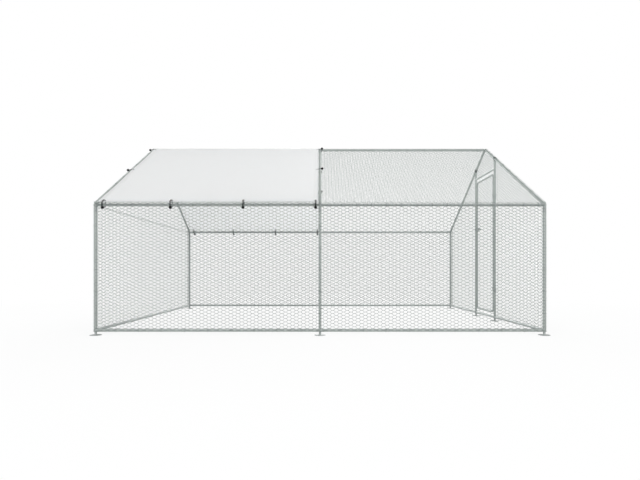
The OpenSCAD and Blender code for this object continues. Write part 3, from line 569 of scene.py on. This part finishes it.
# Selvedges, lacing and tie wires, which edge the netting and hold it on
def onPath(place, corners, step=0.03, closed=False):
    # points along straight runs between corners, in a panel's own u and v, set in place
    points = []
    for a, b in zip(corners, corners[1:] + corners[:1] if closed else corners[1:]):
        count = max(1, round(math.dist(a, b) / step))
        for i in range(count):
            u, v = a[0] + (b[0] - a[0]) * i / count, a[1] + (b[1] - a[1]) * i / count
            points.append(place(u, v, 0))
    if not closed:
        points.append(place(*corners[-1], 0))
    return points, closed


def ring(centre, axis, radius, stretch=None, count=14):
    # a wire ring round a tube, with one side pulled out by stretch to reach the netting's edge
    axis = Vector(axis).normalized()
    across = axis.orthogonal().normalized()
    points = []
    for i in range(count):
        point = Matrix.Rotation(2 * math.pi * i / count, 3, axis) @ across * radius
        if stretch is not None and point.dot(stretch) > 0:
            point += stretch * point.dot(stretch.normalized()) / radius
        points.append(Vector(centre) + point)
    return points, True


def pigtail(centre, axis, radius, out):
    # the twisted ends of a tie wire, bent over against the tube
    axis, out = Vector(axis).normalized(), Vector(out).normalized()
    start = Vector(centre) + out * radius
    return [start, start + out * 0.004 + axis * 0.002, start + out * 0.004 + axis * 0.008,
            start + out * 0.001 + axis * 0.013], False


fixings = {
    "laceHeight": {"left": 0.0035, "right": -0.0035},   # off the eave rail's middle line
    "laceRadius": 0.0028, "laceLay": 0.0155, "laceWire": 0.0022, "lacePerTurn": 7,
    "laceOver": 0.018,      # how far the lacing runs on past a rail's end
    "laceOut": 0.0012,      # past the netting's own middle, as are the rings
    "rings": 15, "ringInset": 0.03,      # rings round each eave rail, and the first one's place
    "tieRadius": 0.0166, "tieSpacing": 0.24,
    "postRing": 0.0028,     # corner posts' rings off the netting's middle
    "doorSpacing": 0.11,    # between the rings on the door's stiles
    "doorClear": 0.0012,    # between a ring and the door's tubes
    "doorReach": 0.006,     # how far a ring pulls out to the door's netting
}


def lacing(start, end):
    # a wire wound along a line
    radius, perTurn = fixings["laceRadius"], fixings["lacePerTurn"]
    run = end - start
    axis = run.normalized()
    across = axis.orthogonal().normalized()
    count = int(run.length / fixings["laceLay"] * perTurn)
    return [start + run * i / count
            + Matrix.Rotation(2 * math.pi * i / perTurn, 3, axis) @ across * radius
            for i in range(count + 1)], False


wallEdge = [(-wrap, wallBottom + 0.001), (2 * halfLength + wrap, wallBottom + 0.001)]
selvedges = [onPath(wallPlace(side), wallEdge, 0.012) for side in (-1, 1)]
for left, right in ((-halfLength - tubeRadius, -0.006), (0.006, halfLength + tubeRadius)):
    for u in (left, right):
        selvedges.append(onPath(roofNettingPlace, [(u, 0.003), (u, roofRun - 0.003)], 0.02))
    for v in (0.003, roofRun - 0.003):
        selvedges.append(onPath(roofNettingPlace, [(left, v), (right, v)]))
for v, step in ((seamZ - 0.0005, 0.02), (seamZ - 0.012, 0.02), (wallBottom + 0.001, 0.03)):
    selvedges.append(onPath(gablePlace(-1), [(-gableReach, v), (gableReach, v)], step))
selvedges.append(onPath(gablePlace(-1), gableTop[2:], 0.02))
overSelvedge = netting["overSelvedge"]
for side in (-1, 1):
    near, far = side * besideDoor, side * gableReach
    selvedges.append(onPath(gablePlace(1), [
        (far, wallBottom), (near, wallBottom), (near, underRoof(near, -overSelvedge)),
        (far, underRoof(far, -overSelvedge))]))
selvedges.append(onPath(gablePlace(1), headerOutline(overSelvedge), closed=True))
addPiece(bentWire("nettingSelvedges", selvedges, netting["selvedge"]),
         paintedLightWire, "netting")
doorLace = [onPath(lambda u, v, w: Vector((halfLength, u, v)), doorOutline, 0.05, True)]
leafRadius = radiusOf("door_latch_stile")
hingeZ = [centre.z for centre, points, normal in looseSolids("door_hinge_eyes")]
latchZ = middle("latch_guide").z
leafRing = leafRadius + fixings["doorClear"]
for node in ("door_hinge_stile", "door_latch_stile"):
    low, high, axis = boxAndMiddle(node)
    inward = Vector((0, -math.copysign(fixings["doorReach"], axis.y), 0))
    count = round((high.z - low.z) / fixings["doorSpacing"])
    taken = hingeZ if "hinge" in node else [latchZ]
    for i in range(count):
        z = low.z + 0.03 + (high.z - low.z - 0.06) * i / (count - 1)
        if min(abs(z - other) for other in taken) > 0.03:
            doorLace.append(ring((axis.x, axis.y, z), (0, 0, 1), leafRing, inward))
low, high, centre = boxAndMiddle("door_rails")
for side in (-1, 1):
    z = centre.z + side * (high.z - leafRadius - centre.z)
    for y in (-0.15, -0.05, 0.05, 0.15):
        doorLace.append(ring((halfLength, y, z), (0, 1, 0), leafRing,
                             Vector((0, 0, -side * fixings["doorReach"]))))
addPiece(bentWire("doorNettingLacing", doorLace, netting["tieWire"]),
         paintedShadeWire, "netting", "door")

laces = []
for sideName in ("front", "back"):
    for bayName in ("left", "right"):
        low, high, centre = boxAndMiddle(sideName + "_" + bayName + "_eave_rail")
        out = math.copysign(netting["standOff"] + fixings["laceOut"], centre.y)
        height = centre.z + fixings["laceHeight"][bayName]
        laces.append(lacing(Vector((low.x - fixings["laceOver"], centre.y + out, height)),
                            Vector((high.x + fixings["laceOver"], centre.y + out, height))))
        first, last = low.x + fixings["ringInset"], high.x - fixings["ringInset"]
        for i in range(fixings["rings"]):
            x = first + (last - first) * i / (fixings["rings"] - 1)
            laces.append(ring((x, centre.y, centre.z), (1, 0, 0), abs(out)))
addPiece(bentWire("eaveLacing", laces, fixings["laceWire"]),
         annealedWire, "netting")

ties = []


def tieAlong(start, end, out):
    start, end = Vector(start), Vector(end)
    count = max(2, round((end - start).length / fixings["tieSpacing"]) + 1)
    for i in range(count):
        centre = start.lerp(end, (i + 0.5) / count)
        ties.append(ring(centre, end - start, fixings["tieRadius"]))
        ties.append(pigtail(centre, end - start, fixings["tieRadius"], out))


for node in ("front_centre_post", "back_centre_post"):
    low, high, centre = boxAndMiddle(node)
    tieAlong((centre.x, centre.y, low.z + 0.03), (centre.x, centre.y, high.z - 0.03),
             (0, centre.y, 0))
for sideName in ("front", "back"):
    for endName in ("left", "right"):
        low, high, centre = boxAndMiddle(sideName + "_" + endName + "_post")
        for i in range(6):
            z = 0.19 * (i + 1)
            if low.z + 0.02 < z < high.z:
                ties.append(ring((centre.x, centre.y, z), (0, 0, 1),
                                 netting["standOff"] + fixings["postRing"]))
        low, high, centre = boxAndMiddle(sideName + "_" + endName + "_bottom_rail")
        tieAlong((low.x + 0.05, centre.y, centre.z), (high.x - 0.05, centre.y, centre.z),
                 (0, centre.y, 0.5 * abs(centre.y)))
for node in ("left_gable_front_rail", "left_gable_back_rail", "right_gable_front_rail",
             "right_gable_back_rail"):
    low, high, centre = boxAndMiddle(node)
    tieAlong((centre.x, low.y + 0.06, centre.z), (centre.x, high.y - 0.06, centre.z),
             (centre.x, 0, 0.5 * abs(centre.x)))
for x in (-halfLength, halfLength):
    for side in (-1, 1):
        ends = [roofPlace(x, up if side < 0 else roofRun - up, 0) for up in (0.2, 1.56)]
        tieAlong(*ends, (x, 0, 1.0))
ridgeZ = middle("ridge_tubes").z
for x, span in ((-halfLength, halfLength - 0.05), (0.05, halfLength - 0.05)):
    tieAlong((x + 0.05, 0, ridgeZ), (x + span, 0, ridgeZ), (0, 0, -1))
for node, side in (("hinge_post", -1), ("latch_post", 1)):
    centre = middle(node)
    for i in range(7):
        ties.append(ring((centre.x, centre.y, 0.16 + 0.24 * i), (0, 0, 1), tubeRadius + 0.0016,
                         Vector((0, side * 0.011, 0)), 16))
addPiece(bentWire("nettingTies", ties, netting["tieWire"]),
         paintedShadeWire, "netting")
print("selvedges, lacing and ties made")


# Woven cover, from its lower edge at the front over the ridge to the one at the back
cover = {
    "left": -1.940, "right": -0.014,   # its side edges
    "lower": 0.005,        # how far its lower edges stop short of the eave corner
    "standOff": 0.0158,    # underside off the frame's middle lines
    "cloth": 0.0008,
    "hem": 0.034, "hemStep": 0.0008,   # width of the hem, and the second layer in it
    "edgeCurve": 0.006,    # how far an edge draws in between two ties
    "eaveReach": 0.2,      # a tie nearer an eave than this, along the slope, goes round its rail
    "hole": 0.0062,        # radius cut out under an eyelet
    "stitch": 0.0055, "stitchPitch": 0.0085, "thread": 0.0011,
}
tiePoints = [centre for centre, points, normal in looseSolids("cover_eyelets")]


def runOf(point):
    # where a point lies on the way over the roof
    up = (point.z - roof["eaveHeight"]) * math.sin(pitch)
    up += (halfWidth - abs(point.y)) * math.cos(pitch)
    return up if point.y < 0 else roofRun - up


tieSpots = [Vector((p.x, runOf(p), 0)) for p in tiePoints]
coverWidth = cover["right"] - cover["left"]
coverLength = roofRun - 2 * cover["lower"]
eaveReach = cover["eaveReach"]
lowerStops = sorted(s.x for s in tieSpots if s.y < eaveReach)
sideStops = sorted([cover["lower"], coverLength]
                   + [s.y for s in tieSpots
                      if s.x < -1.8 and eaveReach < s.y < roofRun - eaveReach])


def drawIn(along, stops):
    # 0 at a tie, 1 half way to the next
    for a, b in zip(stops, stops[1:]):
        if a <= along <= b:
            return math.sin(math.pi * (along - a) / (b - a)) * min(1.0, (b - a) / 0.6)
    return 0.0


def coverPlace(x, run, w):
    # the cover as it lies, creased at its ties and a little slack between them
    across = (x - cover["left"]) / coverWidth
    along = (run - cover["lower"]) / coverLength
    edge = min(x - cover["left"], cover["right"] - x, run - cover["lower"],
               roofRun - cover["lower"] - run)
    pull = 0.0
    for spot in tieSpots:
        away = Vector((x - spot.x, run - spot.y, 0))
        if away.length < 0.5:
            turn = math.atan2(away.y, away.x)
            pull += 0.0022 * math.exp(-away.length / 0.13) * (1 + math.cos(9 * turn))
    slack = 0.0016 * (1 + noise.noise(Vector((x * 2.6, run * 1.7, 4.2))))
    slack *= min(1.0, max(0.0, edge / 0.2))
    out = cover["standOff"] + pull + slack - roofSag(x, run) + w
    if edge < cover["hem"]:
        out += cover["hemStep"]
    x += cover["edgeCurve"] * drawIn(run, sideStops) * ((1 - across) ** 9 - across ** 9)
    run += cover["edgeCurve"] * drawIn(x, lowerStops) * ((1 - along) ** 18 - along ** 18)
    return roofPlace(x, run, out)


def cutAcross(bm, faces, point, normal):
    bmesh.ops.bisect_plane(bm, dist=1e-7, plane_co=point, plane_no=normal,
                           geom=faces + list({e for f in faces for e in f.edges})
                           + list({v for f in faces for v in f.verts}))


bm = bmesh.new()
bmesh.ops.create_grid(bm, x_segments=48, y_segments=96, size=0.5)
bmesh.ops.scale(bm, vec=(coverWidth, coverLength, 1), verts=bm.verts)
bmesh.ops.translate(bm, verts=bm.verts, vec=((cover["left"] + cover["right"]) / 2,
                                             roofRun / 2, 0))
for inset in (cover["hem"] - 0.001, cover["hem"] + 0.001):
    for x in (cover["left"] + inset, cover["right"] - inset):
        cutAcross(bm, bm.faces[:], (x, 0, 0), (1, 0, 0))
    for run in (cover["lower"] + inset, roofRun - cover["lower"] - inset):
        cutAcross(bm, bm.faces[:], (0, run, 0), (0, 1, 0))
for spot in tieSpots:
    reach = 1.5 * cover["hole"]
    for normal in (Vector((1, 0, 0)), Vector((0, 1, 0))):
        for shift in (reach, -reach):
            near = [f for f in bm.faces if (f.calc_center_median() - spot).length < 0.07]
            cutAcross(bm, near, spot + normal * shift, normal)
    inside = [f for f in bm.faces
              if max(abs(c) for c in (f.calc_center_median() - spot)) < reach]
    rim = [e for e in {e for f in inside for e in f.edges}
           if any(f not in inside for f in e.link_faces)]
    bmesh.ops.delete(bm, geom=inside, context="FACES")
    hole = bmesh.ops.create_circle(bm, segments=16, radius=cover["hole"],
                                   matrix=Matrix.Translation(spot))["verts"]
    bmesh.ops.bridge_loops(bm, edges=rim + list({e for v in hole for e in v.link_edges}))
bmesh.ops.recalc_face_normals(bm, faces=bm.faces)
if bm.faces[:][0].normal.z < 0:
    bmesh.ops.reverse_faces(bm, faces=bm.faces)
clothMap = bm.loops.layers.uv.new("clothMetres")
for face in bm.faces:
    for loop in face.loops:
        loop[clothMap].uv = loop.vert.co.xy
for corner in bm.verts:
    corner.co = coverPlace(*corner.co)
bm.normal_update()
bmesh.ops.solidify(bm, geom=bm.faces[:], thickness=-cover["cloth"])
roofCover = addPiece(meshFrom(bm, "roofCover", 40), coverCloth, "cover",
                     replaced=["roof_cover"])

# two rows of stitches hold the hem
bm = bmesh.new()
bmesh.ops.create_cube(bm, size=1)
bmesh.ops.scale(bm, vec=(cover["stitch"], cover["thread"], cover["thread"]), verts=bm.verts)
ends = [e for e in bm.edges if abs(e.verts[0].co.x - e.verts[1].co.x) < 1e-6]
breakEdges(bm, ends, 0.35 * cover["thread"], 1)
stitchMesh = meshFrom(bm, "stitch")


def stitchRow(start, end, turn):
    bm = bmesh.new()
    bm.from_mesh(stitchMesh)
    bmesh.ops.rotate(bm, verts=bm.verts, cent=(0, 0, 0), matrix=Matrix.Rotation(turn, 3, "Z"))
    run = Vector(end) - Vector(start)
    count = int(run.length / cover["stitchPitch"])
    repeatAlong(bm, run / count, count)
    bmesh.ops.translate(bm, vec=start, verts=bm.verts)
    top = cover["cloth"] + 0.25 * cover["thread"]
    for corner in bm.verts:
        corner.co = coverPlace(corner.co.x, corner.co.y, corner.co.z + top)
    return meshFrom(bm, "stitchRow")


stitches = []
for inset in (0.004, cover["hem"] - 0.004):
    low = (cover["left"] + inset, cover["lower"] + inset)
    high = (cover["right"] - inset, roofRun - cover["lower"] - inset)
    for x in (low[0], high[0]):
        stitches.append(stitchRow((x, low[1], 0), (x, high[1], 0), math.pi / 2))
    for run in (low[1], high[1]):
        stitches.append(stitchRow((low[0], run, 0), (high[0], run, 0), 0))
hemStitches = addPiece(joinMeshes("hemStitches", stitches), polyesterThread,
                       "cover")
print("cover made")


# Eyelets, balls and elastic ties
eyelet = {"bore": 0.0055, "outer": 0.010, "height": 0.0024, "roll": 0.0008}


def turned(profile, steps):
    # a profile of radius and height, spun round Z
    bm = bmesh.new()
    knots = [bm.verts.new((r, 0, z)) for r, z in profile]
    for a, b in zip(knots, knots[1:]):
        bm.edges.new((a, b))
    bmesh.ops.spin(bm, geom=everything(bm), cent=(0, 0, 0), axis=(0, 0, 1), angle=2 * math.pi,
                   steps=steps, use_merge=True)
    bmesh.ops.remove_doubles(bm, verts=bm.verts, dist=1e-7)
    bmesh.ops.recalc_face_normals(bm, faces=bm.faces)
    return bm


def standing(bm, place, up, name):
    # a copy of bm turned so that its Z runs along up, at place
    turn = Vector(up).to_track_quat("Z", "X").to_matrix().to_4x4()
    mesh = bpy.data.meshes.new(name)
    bm.to_mesh(mesh)
    mesh.transform(Matrix.Translation(place) @ turn)
    return mesh


r, h = eyelet["roll"], eyelet["height"]
grommet = turned([(eyelet["bore"], 0.2 * h), (eyelet["bore"] + 0.4 * r, 0.02 * h),
                  (eyelet["bore"] + 2 * r, 0), (eyelet["outer"] - r, 0.1 * h),
                  (eyelet["outer"], 0.3 * h), (eyelet["outer"], 0.7 * h),
                  (eyelet["outer"] - r, 0.86 * h), (eyelet["bore"] + 2 * r, h + 0.6 * r),
                  (eyelet["bore"] + 0.5 * r, h + 0.3 * r), (eyelet["bore"], 0.8 * h),
                  (eyelet["bore"], 0.2 * h)], 24)
grommets = []
for place in tiePoints:
    up = Vector((0, math.copysign(math.sin(pitch), place.y), math.cos(pitch)))
    grommets.append(standing(grommet, place - up * h / 2 + up * 0.0008, up, "eyelet"))
grommet.free()
addPiece(joinMeshes("coverEyelets", grommets), zincPlated, "eyelets",
         replaced=["cover_eyelets"])

elastic = {
    "cord": 0.0050,
    "spread": 0.0042,      # half the distance between the loop's two strands
    "tubeClear": 0.0036,   # netting and cover between the cord and the tube
    "overWire": 0.0430,    # from the eave rail's middle line, to clear the wire that stands up
    "ballRadius": 0.0135,
}
ballRadius = elastic["ballRadius"]
ballPlaces = [centre for centre, points, normal in looseSolids("tie_balls")]
strands, knobs = [], []


def roundTube(start, end, radius, way):
    # from start to end round a circle at the origin, passing it on one side
    a = math.atan2(start.y, start.x) + way * math.acos(min(1, radius / start.length))
    b = math.atan2(end.y, end.x) - way * math.acos(min(1, radius / end.length))
    turn = ((b - a) * way) % (2 * math.pi)
    points = [start]
    if turn < 1.6 * math.pi:
        steps = max(2, int(turn / 0.25))
        for i in range(steps + 1):
            angle = a + way * turn * i / steps
            points.append(Vector((math.cos(angle), math.sin(angle))) * radius)
    points.append(end)
    return points


ball = turned([(0, -ballRadius), (0.004, -ballRadius * 0.955), (0.008, -ballRadius * 0.806),
               (0.0112, -ballRadius * 0.558), (0.0131, -ballRadius * 0.24),
               (0.0135, -0.0004), (0.0138, 0), (0.0135, 0.0004), (0.0131, ballRadius * 0.24),
               (0.0112, ballRadius * 0.558), (0.008, ballRadius * 0.806),
               (0.0042, ballRadius * 0.95), (0.0034, ballRadius * 0.97),
               (0.0030, ballRadius * 0.90), (0, ballRadius * 0.86)], 28)
for place in tiePoints:
    knob = min(ballPlaces, key=lambda p: (p - place).length)
    side = math.copysign(1, place.y)
    up = Vector((0, side * math.sin(pitch), math.cos(pitch)))
    run = runOf(place)
    if run < eaveReach or run > roofRun - eaveReach:
        centre = Vector((place.x, side * eaveY, eaveZ))
        axis = Vector((1, 0, 0))
    else:
        centre = roofPlace(-halfLength if place.x < -1 else 0, run, 0)
        axis = Vector((0, -side * math.cos(pitch), math.sin(pitch)))
    across = axis.cross(up).normalized()
    flat = lambda p: Vector(((p - centre).dot(across), (p - centre).dot(up)))
    hole, held = flat(place), flat(knob)
    radius = tubeRadius + elastic["tubeClear"] + elastic["cord"] / 2
    lip = Vector((0, 0.0035))
    outer = elastic["overWire"] if axis.x else radius
    outer = min(outer, held.length - 0.0001, (hole + lip).length - 0.0001)
    way = 1 if hole.x < held.x else -1
    over = roundTube(held, hole + lip, outer, way)
    under = roundTube(hole - lip, held, radius, way)
    for shift in (-elastic["spread"], elastic["spread"]):
        loop = []
        for p in over + under[:-1]:
            near = min(1.0, (p - held).length / 0.03, 0.35 + (p - hole).length / 0.02)
            loop.append(centre + across * p.x + up * p.y + axis * shift * near)
        strands.append((loop, True))
    toward = (across * (hole - held).x + up * (hole - held).y).normalized()
    knobs.append(standing(ball, knob, toward, "ball"))
ball.free()
lengths = [sum((b - a).length for a, b in zip(loop, loop[1:] + loop[:1]))
           for loop, closed in strands]
print("each tie's two strands take %.3f to %.3f m of cord" % (2 * min(lengths), 2 * max(lengths)))
addPiece(bentWire("elasticTies", strands, elastic["cord"], 2), elasticBraid,
         "elastic_cord", replaced=["tie_cords"])
addPiece(joinMeshes("tieBalls", knobs), ballPlastic, "tie_balls",
         replaced=["tie_balls"])
print("eyelets, ties and balls made")


# Screws, rivets and feet
fastener = {
    "screwHead": 0.0055, "screwHeadHeight": 0.004, "washer": 0.0062, "screwShank": 0.003,
    "rivetHead": 0.004, "rivetHeadHeight": 0.0015, "rivetShank": 0.002,
}


def fastenersOf(node, shank):
    # each fastener's top, the way it points out, and its length from there
    places = []
    for centre, points, axis in looseSolids(node):
        heights = [(p - centre).dot(axis) for p in points]
        top = max(heights)
        wide = max(((p - centre) - axis * h).length for p, h in zip(points, heights)
                   if h > top - 0.0001)
        if wide < 1.2 * shank:
            axis, top = -axis, -min(heights)
        places.append((centre + axis * top, axis, max(heights) - min(heights)))
    return places


head, tall = fastener["screwHead"], fastener["screwHeadHeight"]
bm = bmesh.new()
bmesh.ops.create_cone(bm, cap_ends=True, segments=6, radius1=head, radius2=head, depth=tall)
bmesh.ops.translate(bm, vec=(0, 0, -tall / 2), verts=bm.verts)
rim = [e for e in bm.edges if min(v.co.z for v in e.verts) > -0.1 * tall]
breakEdges(bm, rim, 0.0007, 2)
cap = max(bm.faces, key=lambda f: f.normal.z * f.calc_area())
bmesh.ops.inset_individual(bm, faces=[cap], thickness=0.0016, depth=-0.0005)
hexHead = bm
screws = []
for place, along, length in fastenersOf("frame_screws", fastener["screwShank"]):
    shank = turned([(0, -length), (fastener["screwShank"] - 0.0006, -length),
                    (fastener["screwShank"], -length + 0.0008),
                    (fastener["screwShank"], -tall + 0.0001),
                    (fastener["washer"], -tall + 0.0001), (fastener["washer"], -tall + 0.0006),
                    (head - 0.0004, -tall + 0.0009), (0, -tall + 0.0009)], 16)
    screws.append(standing(shank, place, along, "shank"))
    screws.append(standing(hexHead, place, along, "head"))
    shank.free()
hexHead.free()
addPiece(joinMeshes("frameScrews", screws, 35), zincPlated, "hardware",
         replaced=["frame_screws"])
head, tall = fastener["rivetHead"], fastener["rivetHeadHeight"]
rivets = []
for place, along, length in fastenersOf("door_rivets", fastener["rivetShank"]):
    rivet = turned([(0, -length), (fastener["rivetShank"], -length),
                    (fastener["rivetShank"], -tall), (head, -tall), (head, -0.75 * tall),
                    (0.86 * head, -0.36 * tall), (0.6 * head, -0.1 * tall),
                    (0.34 * head, 0), (0.3 * head, -0.4 * tall), (0, -0.45 * tall)], 16)
    rivets.append(standing(rivet, place, along, "rivet"))
    rivet.free()
addPiece(joinMeshes("doorRivets", rivets, 35), zincPlated, "hardware", "door",
         replaced=["door_rivets"])

# Cast and pressed fittings, with their edges broken
fitting = {
    "edge": 0.0004,
    "sharp": 35, "flat": 0.5, "smooth": 40,     # degrees: edges broken, faces merged and shaded
    "sliver": 0.0001,                           # edges shorter than this are closed up first
}
for node, slot, body in (("door_post_tees", "tube", "frame"),
                         ("base_corner_connectors", "tube", "frame"),
                         ("base_centre_connectors", "tube", "frame"),
                         ("lintel_plugs", "hardware", "frame"),
                         ("door_hinge_eyes", "hardware", "door")):
    bm = bmesh.new()
    bm.from_mesh(nodes[node].data)
    bmesh.ops.remove_doubles(bm, verts=bm.verts, dist=1e-5)
    bmesh.ops.dissolve_degenerate(bm, dist=fitting["sliver"], edges=bm.edges)
    bmesh.ops.dissolve_limit(bm, angle_limit=math.radians(fitting["flat"]), verts=bm.verts,
                             edges=bm.edges)
    edges = [e for e in bm.edges if e.calc_face_angle(0) > math.radians(fitting["sharp"])]
    breakEdges(bm, edges, fitting["edge"], 2)
    first, *others = node.split("_")
    name = first + "".join(word.capitalize() for word in others)
    addPiece(meshFrom(bm, name, fitting["smooth"]), galvanisedFitting, slot, body, [node])
print("softened fittings made")

foot = {
    "plate": 0.05, "disc": 0.0030,      # radius and thickness of the disc
    "bead": 0.0010, "beadAt": 0.72,     # height of its bead, and where that is on the radius
    "weld": 0.0035, "stem": 0.0098, "stemWall": 0.0015,
}
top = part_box("ground_feet")[1].z
plate, t, stem = foot["plate"], foot["disc"], foot["stem"]
bead, bore = foot["beadAt"] * plate, stem - foot["stemWall"]
feet = []
for centre, points, normal in looseSolids("ground_feet"):
    padfoot = turned([(0, 0), (plate - 0.0009, 0), (plate, 0.0009), (plate, t - 0.0009),
                      (plate - 0.0009, t), (bead + 0.004, t), (bead + 0.0022, t + foot["bead"]),
                      (bead - 0.0022, t + foot["bead"]), (bead - 0.004, t),
                      (stem + foot["weld"], t), (stem + 0.0012, t + 0.001),
                      (stem, t + foot["weld"]), (stem, top - 0.0005),
                      (stem - 0.0004, top), (bore + 0.0004, top), (bore, top - 0.0005),
                      (bore, t), (0, t)], 40)
    feet.append(standing(padfoot, (centre.x, centre.y, 0), (0, 0, 1), "foot"))
    padfoot.free()
addPiece(joinMeshes("groundFeet", feet, 35), galvanisedFitting, "feet",
         replaced=["ground_feet"])
print("screws, rivets and feet made")


# Camera, lamps and floor
studio = {
    "cameraPlace": (0, -5.48, 0.558), "lens": 26.07, "sensor": 36, "shiftY": 0.0484,
    "skyLight": 0.6,
    "floor": "#f4f5f5",
    "shadowKept": 0.12,     # share of the floor's look that shows its shadow
    "lamps": [
        # name, place, aims at, size in metres, watts
        ("keyLamp", (-4.0, -10.0, 6.0), (0, 0, 0.8), 4.0, 330),
        ("fillLamp", (4.0, -10.0, 3.0), (0, 0, 0.9), 4.0, 200),
        ("topLamp", (0.0, -3.0, 8.0), (0, 0, 1.0), 5.0, 80),
        ("backLamp", (0.5, 7.5, 4.6), (0, 0, 1.0), 5.0, 400),
    ],
}
cameraData = bpy.data.cameras.new("camera")
cameraData.lens = studio["lens"]
cameraData.sensor_width = studio["sensor"]
cameraData.shift_y = studio["shiftY"]
camera = addObject("camera", cameraData)
camera.location = studio["cameraPlace"]
camera.rotation_euler = (math.pi / 2, 0, 0)
bpy.context.scene.camera = camera
for name, place, target, size, watts in studio["lamps"]:
    lampData = bpy.data.lights.new(name, "AREA")
    lampData.shape = "DISK"
    lampData.size = size
    lampData.energy = watts
    lamp = addObject(name, lampData)
    lamp.location = place
    lamp.rotation_euler = (Vector(target) - Vector(place)).to_track_quat("-Z", "Y").to_euler()


def seenDirectly(tree):
    # 1 to the camera and to rays that are mirrored or pass through, 0 to the rest of the light
    ray = addNode(tree, "ShaderNodeLightPath")
    seen = ray.outputs["Is Camera Ray"]
    for kind in ("Is Glossy Ray", "Is Transmission Ray"):
        seen = addNode(tree, "ShaderNodeMath", {"operation": "MAXIMUM"},
                       {0: seen, 1: ray.outputs[kind]}).outputs["Value"]
    return seen


world = bpy.data.worlds.new("studio")
bpy.context.scene.world = world
world.use_nodes = True
tree = world.node_tree
background = tree.nodes["Background"]
background.inputs["Color"].default_value = linearColour("#ffffff")
strength = addNode(tree, "ShaderNodeMapRange", {"To Min": studio["skyLight"], "To Max": 1.0},
                   {"Value": seenDirectly(tree)})
tree.links.new(strength.outputs["Result"], background.inputs["Strength"])

bm = bmesh.new()
bmesh.ops.create_grid(bm, x_segments=1, y_segments=1, size=20)
floorMesh = meshFrom(bm, "floor")
floor = addObject("floor", floorMesh)
floorPaint, tree, surface = newMaterial("matWhitePaintedFloor", {
    "Base Color": linearColour(studio["floor"]), "Roughness": 0.9, "Specular IOR Level": 0.1})
where = addNode(tree, "ShaderNodeTexCoord")
away = addNode(tree, "ShaderNodeVectorMath", {"operation": "LENGTH"},
               {0: where.outputs["Object"]})
# round the object the floor keeps some of its shadow, and further out it is plain white
fade = addNode(tree, "ShaderNodeMapRange",
               {"From Min": 2.8, "From Max": 6.0, "To Min": 1 - studio["shadowKept"], "To Max": 1.0},
               {"Value": away.outputs["Value"]})
share = addNode(tree, "ShaderNodeMath", {"operation": "MULTIPLY"},
                {0: seenDirectly(tree), 1: fade.outputs["Result"]})
glow = addNode(tree, "ShaderNodeEmission", {"Color": linearColour("#ffffff"), "Strength": 1.0})
mixed = addNode(tree, "ShaderNodeMixShader", None,
                {0: share.outputs["Value"], 1: surface.outputs["BSDF"], 2: glow.outputs["Emission"]})
tree.links.new(mixed.outputs["Shader"], tree.nodes["Material Output"].inputs["Surface"])
floorMesh.materials.append(floorPaint)
bpy.context.scene.view_settings.view_transform = "Standard"
print("camera, lamps and floor set")

# The frame's own nodes get their finishes: the first row with a word of the node's name has it
finishes = (
    (("_net",), paintedShadeWire),
    (("door_post_clamps",), nearBlackClampSteel),
    (("roof_cover",), coverCloth),
    (("ball",), ballPlastic),
    (("cord",), elasticBraid),
    (("screw", "rivet", "eyelet"), zincPlated),
    (("elbow", "connector", "tee", "clamp", "plug", "feet", "bracket", "eye", "guide", "keeper",
      "bolt"), galvanisedFitting),
    (("",), galvanisedTube),
)
for name, node in nodes.items():
    node.data.materials.clear()
    node.data.materials.append(next(finish for words, finish in finishes
                                    if any(word in name for word in words)))
print("frame nodes finished")
